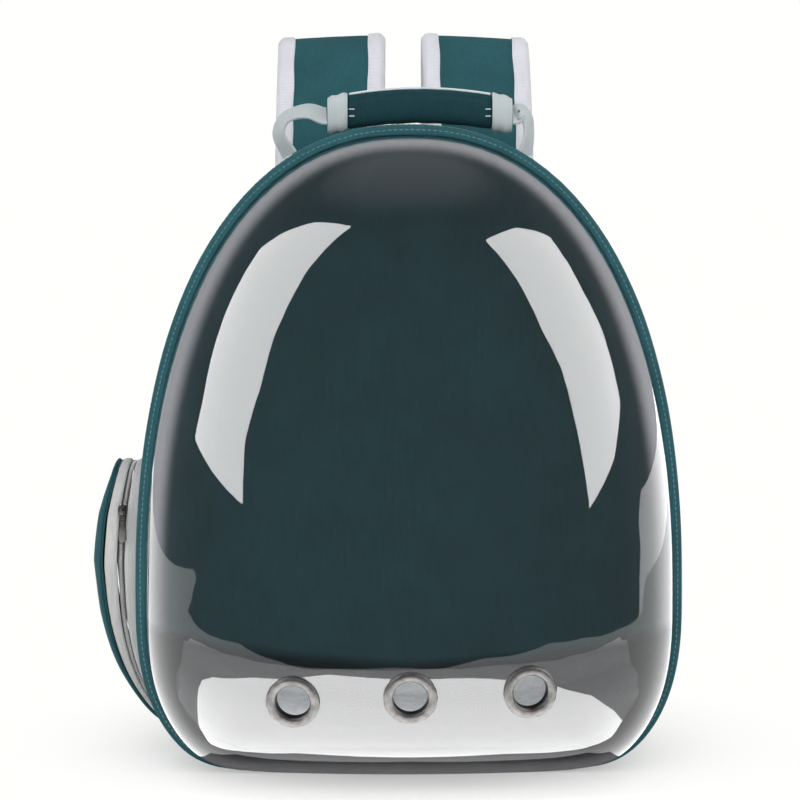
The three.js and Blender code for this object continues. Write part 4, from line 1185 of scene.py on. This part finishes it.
class CARRIER_OT_straps(bpy.types.Operator):
    """Makes both padded shoulder straps with their folded bindings and stitching"""
    bl_idname = "carrier.straps"
    bl_label = "Shoulder straps"

    def execute(self, context):
        strap = settings("straps")
        turn = np.linspace(0, 2 * math.pi, 44, endpoint=False)
        c, s = np.cos(turn), np.sin(turn)
        for name, side in SIDES:
            places, width = strap_places(side)

            def pillow(i):
                half = width[i] / 2 - 1.4 * MM
                across = half * np.sign(c) * np.abs(c) ** 0.35
                edge = np.clip((np.abs(across) / half - 0.62) / 0.38, 0, 1)
                thick = strap.thick / 2 * (1 - 0.16 * edge**2)
                crown = 0.5 * MM * (1 - (across / half) ** 2) + 0.25 * MM * math.sin(i * 0.55) * (1 - edge)
                up = np.sign(s) * np.abs(s) ** 0.3 * (thick + crown)
                return np.stack([across, up], axis=1)

            cloth = swept("shoulder_strap_pad_" + name, places, pillow, smooth=70)
            cloth.data.materials.append(finish_of("cloth"))
            cloth.data.materials.append(finish_of("mesh"))
            under = np.array([face.center for face in cloth.data.polygons])
            nearest = np.linalg.norm(under[:, None] - places[0][None], axis=2).argmin(axis=1)
            for face, row in zip(cloth.data.polygons, nearest):
                if np.dot(face.normal, places[2][row]) < -0.5:
                    face.material_index = 1
            finished(cloth, None, ["shoulder_strap_" + name])
            for edge_name, edge in (("outer", side), ("inner", -side)):
                thick, high = strap.thick / 2, strap.thick / 2 + TAPE_THICK + FRONT_GAP

                def folded(i):
                    rim, low = width[i] / 2, thick + FRONT_GAP
                    inner = rim - strap.binding + 0.3 * MM * math.sin(i * 0.9 + side)
                    bend = strap.thick * 0.42
                    return rounded([(edge * a, b) for a, b in (
                        (inner, high - 0.25 * MM), (rim - bend, high + 0.15 * MM), (rim, high - bend),
                        (rim, bend - high), (rim - bend, -high - 0.15 * MM), (inner, -high + 0.25 * MM),
                        (inner, -low + 0.2 * MM), (rim - TAPE_THICK - bend * 0.6, -low),
                        (rim - TAPE_THICK, bend - low), (rim - TAPE_THICK, low - bend),
                        (rim - TAPE_THICK - bend * 0.6, low), (inner, low - 0.2 * MM))], 1.6 * MM, 3)

                tape = swept(f"strap_binding_{name}_{edge_name}_tape", places, folded, smooth=60)
                finished(tape, finish_of("binding"), [f"strap_binding_{name}_{edge_name}"])
                lines, rises = [], []
                for face in (1, -1):
                    inner = (width / 2 - strap.binding + 1.8 * MM)[:, None] * edge
                    lines.append(places[0] + places[1] * inner + places[2] * face * (high - 0.15 * MM))
                    rises.append(places[2] * face)
                stitched(f"strap_stitching_{name}_{edge_name}", lines, rises, finish_of("pale_thread"))
        return {"FINISHED"}


# Strap ends

BUCKLE_HALF, BUCKLE_TALL, BUCKLE_THICK, BUCKLE_BAR = 17 * MM, 28 * MM, 2.5 * MM, 1.9 * MM
WEBBING_THICK, TAB_X, TAB_Z, TAB_TALL, TAB_HALF_THICK = 1.8 * MM, 88 * MM, 50 * MM, 34 * MM, 1 * MM


def strap_end(side):
    (centre, across, up), _ = strap_places(side)
    along = np.cross(across[-1], up[-1])
    return centre[-1], across[-1], up[-1], along if along[2] < 0 else -along


def tab_top(side):
    return np.array([side * TAB_X, settings("body").back + SEAT + TAB_HALF_THICK, TAB_Z])


class CARRIER_OT_strap_ends(bpy.types.Operator):
    """Makes the buckles, lower webbing and sewn tabs of the straps"""
    bl_idname = "carrier.strap_ends"
    bl_label = "Strap ends"

    def execute(self, context):
        webbing = settings("straps").webbing
        half, tall, thick = BUCKLE_HALF, BUCKLE_TALL, BUCKLE_THICK
        for name, side in SIDES:
            centre, across, up, along = strap_end(side)

            def place(a, t, h):
                return centre + across * a + along * (FRONT_GAP + t) + up * h

            outer = rounded([(-half, 0), (half, 0), (half, tall), (-half, tall)], 5 * MM, 6)
            slot, low, high = webbing / 2 + 1 * MM, tall * 0.25, tall * 0.8
            inner = rounded([(-slot, low), (slot, low), (slot, high), (-slot, high)], 1.5 * MM, 6)
            middle = np.array([0, tall / 2])
            eased = middle + (outer - middle) * 0.96
            rings = [[place(a, t, h) for a, t in points] for points, h in (
                (eased, -thick), (outer, -thick * 0.6), (outer, thick * 0.6), (eased, thick), (inner, thick),
                (inner, -thick))]
            pieces = [drawn_out("buckle", rings, hoop=True, smooth=40)]
            bar = np.linspace(place(-slot - 1 * MM, tall * 0.52, 0), place(slot + 1 * MM, tall * 0.52, 0), 6)
            pieces.append(cord_round("buckle_bar", bar, up, BUCKLE_BAR))
            finished(joined("strap_buckle_plate_" + name, pieces), finish_of("plastic"),
                     ["strap_buckle_" + name])
            top = tab_top(side)
            start = centre + along * (2 * FRONT_GAP + tall + WEBBING_THICK * 0.8)
            finish = top + np.array([0, TAB_HALF_THICK + FRONT_GAP + WEBBING_THICK / 2, -TAB_TALL * 0.15])
            lean = finish + np.array([0, WEBBING_THICK * 1.2, TAB_TALL / 2])
            sag = start * 0.45 + finish * 0.55 + np.array([0, 4, -6]) * MM
            line = smooth_line([start, start + along * tall * 0.5, sag, lean, finish], 60)
            share_along = np.linspace(0, 1, 60)[:, None]
            places = stations(line, across * (1 - share_along) + np.array([1, 0, 0]) * share_along)
            strip = swept("strap_webbing_band_" + name, places, lambda i: flat_section(
                webbing / 2, WEBBING_THICK / 2, 0.8 * MM), smooth=50)
            finished(strip, finish_of("webbing"), ["strap_webbing_" + name])
            outline = rounded([(-20, -20.4), (20, -20.4), (13.5, 13.6), (-13.5, 13.6)], 2.5, 5) * MM
            rings = [top + np.stack([p[:, 0], np.full(len(p), y * TAB_HALF_THICK), p[:, 1]], axis=1)
                     for p, y in ((outline * 0.98, -1), (outline, -0.7), (outline, 0.7), (outline * 0.97, 1))]
            tab = drawn_out("webbing_tab_cloth_" + name, rings, smooth=40)
            finished(tab, finish_of("cloth"), ["webbing_tab_" + name])
            box = np.array([(-17, -17.5), (17, -17.5), (11, 10.5), (-11, 10.5), (-17, -17.5)]) * MM
            line = top + np.stack([box[:, 0], np.full(5, TAB_HALF_THICK), box[:, 1]], axis=1)
            stitched("webbing_tab_stitching_" + name, [line], [(0, 1, 0)], finish_of("thread"))
        return {"FINISHED"}


# Strap yoke

YOKE_TALL = 26 * MM


class CARRIER_OT_yoke(bpy.types.Operator):
    """Makes the patch sewn over the roots of the straps"""
    bl_idname = "carrier.yoke"
    bl_label = "Strap yoke"

    def execute(self, context):
        strap = settings("straps")
        half = strap.middle_x + strap.width / 2 + 3 * MM
        front = strap_face() + strap.thick / 2 + TAPE_THICK + 2 * FRONT_GAP
        low, high = strap.root_z - YOKE_TALL * 0.45, strap.root_z + YOKE_TALL * 0.4
        seat = settings("body").back + SEAT
        hem = strap.root_z - strap.width / 2 * STRAP_ROLL - 2 * FRONT_GAP
        section = rounded([(seat, low), (front + 2 * MM, low + 2.5 * MM), (front + 2 * MM, high),
                           (front, high), (front, hem), (seat, hem)], 1.4 * MM, 4)
        rings = []
        for place in np.linspace(-half, half, 60):
            dip = -0.9 * MM * math.exp(-(place / (10 * MM)) ** 2)
            rings.append([np.array([place, y + dip * (y > front - 1 * MM), z]) for y, z in section])
        yoke = drawn_out("strap_yoke_patch", rings, smooth=50)
        finished(yoke, finish_of("cloth"), ["strap_yoke"])
        face, bottom, top = front + 1.9 * MM, low + 4.5 * MM, high - 2.5 * MM
        lines = [[(-half + 3 * MM, face, z), (half - 3 * MM, face, z)] for z in (bottom, top)]
        for centre in (-strap.middle_x, strap.middle_x):
            left, right = (centre + sign * (strap.width / 2 - 6 * MM) for sign in (-1, 1))
            lines.append([(left, face, bottom), (right, face, top)])
            lines.append([(right, face, bottom), (left, face, top)])
        stitched("strap_yoke_stitching", lines, [(0, 1, 0)] * len(lines), finish_of("thread"))
        return {"FINISHED"}


# Handle

HANDLE_Y, GRIP_X, GRIP_LIFT, GRIP_SAG, BAND_LONG = -16 * MM, 8 * MM, 1.2 * MM, 4 * MM, 13 * MM
# Shares of the way from a band to its foot and of the height, and the webbing's twist in radians
LOOP_ROWS = ((0, 1, 0.55), (0.5, 1.12, 0.5), (1.12, 0.95, 0.4), (1.3, 0.55, 0.42), (1, 0, 0.5))


def grip_middle(x):
    handle = settings("handle")
    part = (x - GRIP_X) / (handle.grip_length / 2)
    return settings("body").height + GRIP_LIFT + handle.grip_tall / 2 - GRIP_SAG * part * part


def grip_ring(x, proud, scale, fold=0.0):
    handle = settings("handle")
    angle = np.linspace(0, 2 * math.pi, 56, endpoint=False)
    c, s = np.cos(angle), np.sin(angle)
    dent = 1 - fold * np.exp(-((angle - (math.pi - 0.52)) / 0.1) ** 2)
    dent += fold * 0.35 * np.exp(-((angle - (math.pi - 0.8)) / 0.2) ** 2)
    tall, thick = handle.grip_tall / 2 * scale + proud, handle.grip_thick / 2 * scale + proud
    y = HANDLE_Y + thick * dent * np.sign(c) * np.abs(c) ** 0.72
    z = grip_middle(x) + tall * dent * np.sign(s) * np.abs(s) ** 0.72
    return np.stack([np.full_like(angle, x), y, z], axis=1)


class CARRIER_OT_handle(bpy.types.Operator):
    """Makes the wrapped grip, its end bands and the twisted webbing loops"""
    bl_idname = "carrier.handle"
    bl_label = "Handle"

    def execute(self, context):
        handle = settings("handle")
        half = handle.grip_length / 2
        rings = []
        for along in np.concatenate([[-1, -0.985], np.linspace(-0.96, 0.96, 61), [0.985, 1]]):
            scale = 0.9 if abs(along) == 1 else 0.97 if abs(along) > 0.98 else 1
            seam = 1 - 0.035 * math.exp(-((along * half + 2 * MM) / (0.9 * MM)) ** 2)
            pinch = 1 + 0.012 * math.sin(along * 17) - 0.02 * abs(along) ** 6
            rings.append(grip_ring(GRIP_X + along * half, 0, scale * seam * pinch, fold=0.1))
        grip = drawn_out("handle_grip_cloth", rings, smooth=50)
        finished(grip, finish_of("grip"), ["handle_grip"])
        x = np.linspace(GRIP_X - half + 1 * MM, GRIP_X + half - 1 * MM, 60)
        crest = np.stack([x, np.full(60, HANDLE_Y - handle.grip_thick * 0.16),
                          grip_middle(x) + handle.grip_tall / 2 - 0.2 * MM], axis=1)
        edge = swept("handle_top_edge", stations(crest, (0, 1, 0)),
                     lambda i: flat_section(2.2 * MM, 0.8 * MM, 0.8 * MM), smooth=60)
        finished(edge, finish_of("webbing"))
        lines = []
        for name, side in SIDES:
            start = GRIP_X + side * (half + FRONT_GAP)
            rings = []
            for along in np.linspace(0, 1, 16):
                scale = np.interp(along, (0, 0.15, 0.8, 1), (0.97, 1, 0.97, 0.9))
                fold = 0.03 * math.sin(along * 11 + side)
                x = start + side * BAND_LONG * along
                rings.append(grip_ring(x, 1.2 * MM * scale, scale * (1 + fold)))
            band = drawn_out("handle_band_wrap_" + name, rings, smooth=50)
            finished(band, finish_of("handle_band"), ["handle_band_" + name])
            start = GRIP_X + side * (half + BAND_LONG + 3 * FRONT_GAP)
            foot = side * handle.foot_x
            foot_z, start_z = float(top_at(foot)) + SEAT + 1.2 * MM, grip_middle(start)
            points = [np.array([start + (foot - start) * a, HANDLE_Y, foot_z + (start_z - foot_z) * h])
                      for a, h, _ in LOOP_ROWS]
            points.insert(1, np.array([start + side * 2 * MM, HANDLE_Y, start_z]))
            line = smooth_line(points, 60)
            along = unit(np.gradient(line, axis=0))
            twist = side * np.interp(np.linspace(0, 4, 60), range(5), [row[2] for row in LOOP_ROWS])
            y_axis = np.broadcast_to([0, 1.0, 0], line.shape)
            cross = y_axis * np.cos(twist)[:, None] + np.cross(along, y_axis) * np.sin(twist)[:, None]
            places = stations(line, cross)
            w, t = handle.loop_width / 2, 1 * MM
            width = 1 - 0.16 * np.sin(np.linspace(0, math.pi, 60)) ** 2
            loop = swept("handle_webbing_loop_" + name, places, lambda i: rounded(
                [(-w * width[i], -t), (0, -t * 1.25), (w * width[i], -t), (w * width[i], t), (0, t * 0.75),
                 (-w * width[i], t)], 0.8 * MM, 3), smooth=50)
            finished(loop, finish_of("handle_webbing"), ["handle_webbing_" + name])
            x, y = GRIP_X + side * (half - 4 * MM), HANDLE_Y - handle.grip_thick / 2
            for rise in (-3.5 * MM, 1 * MM):
                z = grip_middle(x) + rise
                lines.append([(x, y, z), (x + side * 3 * MM, y, z)])
        stitched("handle_stitching", lines, [(0, -1, 0)] * len(lines), finish_of("pale_thread"),
                 thick=0.8)
        return {"FINISHED"}


# Side pocket

# Shares of the pocket's height and of its stand-off
POCKET_ROWS = ((0, 0.34), (0.12, 0.46), (0.28, 0.66), (0.46, 0.88), (0.64, 1), (0.82, 0.94), (1, 0.76))
POCKET_Y, POCKET_POWER, POCKET_WALL, POCKET_SPLIT, ZIP_HALF = 6 * MM, 3.2, 2 * MM, 0.46, 2.5 * MM


def pocket_ring(part, inset=0.0, extra=0.0, scale=1.0, count=112):
    """Ring of the pocket at a share of its stand-off from the shell."""
    pocket = settings("pocket")
    middle = (pocket.low + pocket.high) / 2
    tall = ((pocket.high - pocket.low) / 2 - inset) * scale
    wide = (pocket.half_depth - inset) * scale
    angle = np.linspace(0, 2 * math.pi, count, endpoint=False)
    c, s = np.cos(angle), np.sin(angle)
    z = middle + tall * np.sign(s) * np.abs(s) ** (2 / POCKET_POWER)
    y = POCKET_Y + wide * (1 - 0.16 * np.maximum(0, -s)) * np.sign(c) * np.abs(c) ** (2 / POCKET_POWER)
    table = np.array(POCKET_ROWS)
    out = pocket.out * np.interp((z - pocket.low) / (pocket.high - pocket.low), table[:, 0], table[:, 1])
    return np.stack([-half_width_at(z) - SEAT - out * part - extra, y, z], axis=1)


def pocket_outward(ring):
    flat = ring[:, 1:]
    along = unit(np.roll(flat, -1, 0) - np.roll(flat, 1, 0))
    return np.stack([np.zeros(len(flat)), along[:, 1], -along[:, 0]], axis=1)


class CARRIER_OT_pocket(bpy.types.Operator):
    """Makes the side pocket: two pale gussets, a zip with its slider and the green face"""
    bl_idname = "carrier.pocket"
    bl_label = "Side pocket"

    def execute(self, context):
        pocket = settings("pocket")
        zip_share, gap, face = ZIP_HALF / pocket.out, 3 * FRONT_GAP / pocket.out, 2.5 * MM / pocket.out
        split = POCKET_SPLIT

        def band(name, start, stop, sink, crown, finish, slot, node):
            outer = [pocket_ring(start + (stop - start) * t, sink - crown * MM * math.sin(math.pi * t) ** 0.6)
                     for t in np.linspace(0, 1, 9)]
            inner = [pocket_ring(part, POCKET_WALL) for part in (stop, (start + stop) / 2, start)]
            finished(drawn_out(name, outer + inner, hoop=True, smooth=50), finish_of(finish), [node])

        band("pocket_gusset_inner_cloth", 0, split - zip_share, 0, 0.7, "gusset", "grey_binding",
             "pocket_gusset_inner")
        band("pocket_zip_tape", split - zip_share + gap, split + zip_share - gap, 1.2 * MM, 0, "coil",
             "zip_tape", "pocket_zip")
        band("pocket_gusset_outer_cloth", split + zip_share, 1 - face - gap, 0, 1.1, "gusset", "grey_binding",
             "pocket_gusset_outer")
        path = pocket_ring(split, 0.7 * MM, count=400)
        path = np.vstack([path, path[:1]])
        count = int(np.linalg.norm(np.diff(path, axis=0), axis=1).sum() / (0.9 * MM))
        spots = even(path, count + 1)[:-1]
        rise = pocket_outward(spots)
        spots[:, 0] += np.where(np.arange(count) % 2, 0.35 * MM, -0.35 * MM)
        teeth = repeated("pocket_zip_coil", pattern_block(2.0 * MM, 0.65 * MM, 0.8 * MM, 0.2 * MM), spots,
                         np.broadcast_to([1.0, 0, 0], spots.shape), rise)
        finished(teeth, finish_of("gusset"))
        outer = [pocket_ring(1, 0, pocket.crown * math.sqrt(1 - s * s), s)
                 for s in (0.06, 0.25, 0.45, 0.6, 0.72, 0.82, 0.9, 0.95, 0.985)]
        edge = 1 - face
        inner = [pocket_ring(1, POCKET_WALL, pocket.crown * math.sqrt(1 - s * s) - 2.5 * MM, s)
                 for s in (0.9, 0.72, 0.45, 0.06)]
        hem = [pocket_ring(1, 0.2 * MM, 0.4 * MM), pocket_ring(edge), pocket_ring(edge, POCKET_WALL)]
        panel = drawn_out("pocket_face_cloth", outer + hem + inner, ends="point", smooth=60)
        shape(panel, lambda co: co - ripple(co, 1.2)[:, None] * np.array([0.7 * MM, 0, 0]))
        finished(panel, finish_of("cloth"), ["pocket_face"])
        rim = pocket_ring(1, 0.2 * MM, 0.1 * MM)
        piping = cord_round("pocket_piping", rim, (1, 0, 0), 1.3 * MM, closed=True)
        finished(piping, finish_of("cloth"))
        rows = [pocket_ring(split - zip_share * 1.9, -0.55 * MM),
                pocket_ring(split + zip_share * 1.9, -0.8 * MM)]
        stitched("pocket_stitching", rows, [pocket_outward(row) for row in rows], finish_of("pale_thread"),
                 thick=0.55)
        low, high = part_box("pocket_slider")
        start = np.array([(low.x + high.x) / 2, high.y, high.z])
        piece = slider("pocket_zip_slider", start, (0, 0, -1), (0, -1, 0), long=9, pull=16, wide=6)
        finished(piece, finish_of("pewter"), ["pocket_slider"])
        return {"FINISHED"}


# Studio

CAMERA_PLACE, CAMERA_AIM, CAMERA_LENS = (-0.0392, -1.9797, 0.405), (-0.006, -0.080, 0.241), 134.5
# Name, place, aim, size and setting of each light
LIGHTS = (
    ("front_light", (0, -1.9, 1.15), (0, 0, 0.2), (2.0, 1.2), "front"),
    ("top_light", (0, -0.95, 2.1), (0, 0, 0.1), (2.2, 1.0), "top"),
    ("side_left", (-1.9, -0.6, 0.9), (0, 0, 0.2), (1, 1), "side"),
    ("side_right", (1.9, -0.6, 0.9), (0, 0, 0.2), (1, 1), "side"),
)
# Edges of what the dome mirrors, in metres: two windows, each row with its inner and outer corner
WINDOW_LEFT = (
    ((-1.10, -1.00, 0.22), (-1.42, -0.14, 0.39)), ((-1.12, -0.94, 0.44), (-1.40, -0.16, 0.52)),
    ((-1.04, -0.97, 0.63), (-1.35, -0.10, 0.67)), ((-0.97, -0.93, 0.83), (-1.30, -0.07, 0.82)),
    ((-0.73, -0.88, 1.18), (-1.10, -0.08, 1.16)), ((-0.38, -0.80, 1.42), (-0.70, -0.50, 1.38)),
)
WINDOW_RIGHT = (
    ((1.20, -0.88, 0.20), (1.38, -0.45, 0.34)), ((1.14, -0.90, 0.47), (1.40, -0.10, 0.50)),
    ((1.08, -0.90, 0.69), (1.33, -0.05, 0.75)), ((0.95, -0.94, 0.86), (1.24, -0.12, 0.94)),
    ((0.78, -0.90, 1.11), (1.05, -0.11, 1.22)), ((0.54, -0.84, 1.33), (0.80, -0.50, 1.36)),
)
# The table, the shade under the carrier and the lit strip as x and y, the side card as y and z
TABLE_EDGE = ((-1.45, -0.3), (-1.15, -0.6), (-0.8, -0.76), (-0.28, -0.53), (-0.07, -0.40), (0.04, -0.42),
              (0.15, -0.53), (0.52, -0.80), (0.95, -0.84), (1.3, -0.5), (1.4, 3), (-1.45, 3))
FOOTPRINT = ((-0.14, -0.125), (-0.119, -0.148), (0, -0.156), (0.12, -0.148), (0.14, -0.125), (0.14, 0.1),
             (-0.14, 0.1))
SIDE_X = 1.3
SIDE_EDGE = ((2.5, 0.24), (0.6, 0.22), (0.06, 0.2), (-0.05, 0.13), (-0.03, 0.05), (-0.05, 0.01), (-0.4, -0.1),
             (-0.8, -0.25), (-0.9, -0.6), (2.5, -0.6))
STRIP_EDGE = ((-0.303, -0.178), (-0.359, -0.213), (-0.366, -0.267), (-0.269, -0.371), (-0.146, -0.39),
              (-0.054, -0.362), (0.04, -0.36), (0.085, -0.343), (0.194, -0.344), (0.236, -0.25),
              (0.216, -0.173), (0.198, -0.142), (0.162, -0.144), (0.13, -0.155), (0.058, -0.163),
              (-0.072, -0.163), (-0.119, -0.154), (-0.153, -0.137), (-0.189, -0.137))


def glow(name, points, strength, faces=None):
    """A lit card that only shiny surfaces see, one flat face unless faces are given."""
    finish = Finish(name)
    finish.finish(finish.add("ShaderNodeEmission", None, {"Strength": strength}))
    mesh = bpy.data.meshes.new(name)
    mesh.from_pydata(points, [], faces or [tuple(range(len(points)))])
    mesh.materials.append(finish.material)
    card = placed(name, mesh)
    for ray in ("camera", "diffuse", "transmission", "volume_scatter", "shadow"):
        setattr(card, "visible_" + ray, False)


def soft_light(name, place, aim, size, power):
    """A wide lamp that is seen only by what it lights."""
    data = bpy.data.lights.new(name, "AREA")
    data.shape, data.size, data.size_y, data.energy = "RECTANGLE", *size, power
    light = placed(name, data)
    light.location = place
    light.rotation_euler = (Vector(aim) - Vector(place)).to_track_quat("-Z", "Y").to_euler()
    for ray in ("camera", "glossy", "transmission"):
        setattr(light, "visible_" + ray, False)


def pale_floor():
    """A plain floor whose paint turns into an even white away from the carrier."""
    finish = Finish("floor_paint")
    place = finish.add("ShaderNodeTexCoord", output="Object")
    far = finish.add("ShaderNodeVectorMath", {"operation": "LENGTH"}, {0: place}, output="Value")
    grain = finish.noise(30, 3)
    paint = finish.surface({"Base Color": finish.tint((0.93, 0.93, 0.92), 0.99, 1.01, grain),
                            "Roughness": grain * 0.1 + 0.6}, output=False)
    pale = finish.add("ShaderNodeEmission", None, {"Color": (1, 1, 0.98), "Strength": 1.0})
    finish.finish(finish.add("ShaderNodeMixShader", None, {0: far.between(0.0, 0.3), 1: paint, 2: pale}))
    floor = added("floor", "plane", size=40, location=(0, 0, -0.5 * MM))
    floor.data.materials.append(finish.material)
    floor.visible_glossy = floor.visible_transmission = False


def pale_walls(sky):
    """The world's light: white to the camera, soft on cloth, and dim in front where the dome mirrors it."""
    world = bpy.data.worlds.new("studio")
    bpy.context.scene.world = world
    walls = Finish("studio", world)
    behind, above = walls.parts(walls.add("ShaderNodeTexCoord", output="Generated"), "YZ")
    dim = walls.mix((0.22, 0.21, 0.21), (0.62, 0.6, 0.62), above.between(0.85, 1.0))
    mirrored = walls.mix(dim, tuple(sky * c for c in (0.96, 0.95, 1.0)), behind.between(0.33, 0.62))
    mirrored = walls.mix(mirrored, (0.5, 0.5, 0.52), behind.between(0.68, 0.92))
    ambient = walls.mix((0.25, 0.25, 0.26), (0.8, 0.8, 0.8), behind.between(-0.2, 0.6))
    spread, bounces, seen = (walls.add("ShaderNodeLightPath", output=ray)
                             for ray in ("Is Diffuse Ray", "Glossy Depth", "Is Camera Ray"))
    through = walls.mix((0.85, 0.85, 0.86), ambient, spread)
    room = walls.mix(through, mirrored, bounces.between(0, 1))
    sky_light = walls.add("ShaderNodeBackground", None,
                          {"Color": walls.mix(room, (1.0, 1.0, 0.985), seen), "Strength": 1.0})
    walls.add("ShaderNodeOutputWorld", None, {"Surface": sky_light}, output=None)


def photo_camera():
    camera = bpy.data.cameras.new("camera")
    camera.lens, camera.sensor_width = CAMERA_LENS, 36
    eye = placed("camera", camera)
    eye.location = CAMERA_PLACE
    aim = Vector(CAMERA_AIM) - eye.location
    eye.rotation_euler = aim.to_track_quat("-Z", "Y").to_euler()
    bpy.context.scene.camera = eye
    bpy.context.scene.view_settings.view_transform = "Standard"


class CARRIER_OT_stage(bpy.types.Operator):
    """Makes the floor, the studio light and the camera"""
    bl_idname = "carrier.stage"
    bl_label = "Stage"

    def execute(self, context):
        studio = settings("studio")
        for name, rows in (("window_left", WINDOW_LEFT), ("window_right", WINDOW_RIGHT)):
            inner, outer = ([row[k] for row in rows] for k in (0, 1))
            faces = [(i, i + 1, len(rows) + i + 1, len(rows) + i) for i in range(len(rows) - 1)]
            glow(name, inner + outer, studio.windows, faces)
        glow("side_card", [(SIDE_X, y, z) for y, z in SIDE_EDGE], studio.side_card)
        glow("lit_strip", [(x, y, 2 * MM) for x, y in STRIP_EDGE], studio.strip)
        glow("table_glow", [(x, y, -1 * MM) for x, y in TABLE_EDGE], studio.table)
        glow("footprint", [(x, y, 2.5 * MM) for x, y in FOOTPRINT], studio.footprint)
        pale_floor()
        for name, place, aim, size, setting in LIGHTS:
            soft_light(name, place, aim, size, getattr(studio, setting))
        pale_walls(studio.sky)
        photo_camera()
        return {"FINISHED"}


class CARRIER_PT_panel(bpy.types.Panel):
    """Lists the carrier's sizes, colours and steps in the sidebar"""
    bl_label = "Bubble pet carrier"
    bl_idname = "CARRIER_PT_panel"
    bl_space_type = "VIEW_3D"
    bl_region_type = "UI"
    bl_category = "Carrier"

    def draw(self, context):
        for name, group in GROUPS.items():
            box = self.layout.box()
            box.label(text=group.__doc__)
            for key in group.__annotations__:
                box.prop(settings(name), key)
        for step in STEPS:
            self.layout.operator(step.bl_idname)


GROUPS = {
    "body": BodySizes, "dome": DomeSizes, "straps": StrapSizes, "handle": HandleSizes, "pocket": PocketSizes,
    "colours": CarrierColours, "studio": StudioSettings,
}
STEPS = (
    CARRIER_OT_shell, CARRIER_OT_front_frame, CARRIER_OT_dome, CARRIER_OT_vents, CARRIER_OT_main_zip,
    CARRIER_OT_floor_pad, CARRIER_OT_back_pad, CARRIER_OT_straps, CARRIER_OT_strap_ends, CARRIER_OT_yoke,
    CARRIER_OT_handle, CARRIER_OT_pocket, CARRIER_OT_stage,
)
CLASSES = (*GROUPS.values(), *STEPS, CARRIER_PT_panel)


def register():
    for cls in CLASSES:
        bpy.utils.register_class(cls)
    for name, group in GROUPS.items():
        setattr(bpy.types.Scene, "carrier_" + name, PointerProperty(type=group))


def unregister():
    for name in GROUPS:
        delattr(bpy.types.Scene, "carrier_" + name)
    for cls in reversed(CLASSES):
        bpy.utils.unregister_class(cls)


def main():
    register()
    for step in STEPS:
        group, name = step.bl_idname.split(".")
        if getattr(getattr(bpy.ops, group), name)() != {"FINISHED"}:
            raise RuntimeError(step.bl_label + " was not finished")
    bpy.context.view_layer.update()


if __name__ == "__main__":
    main()
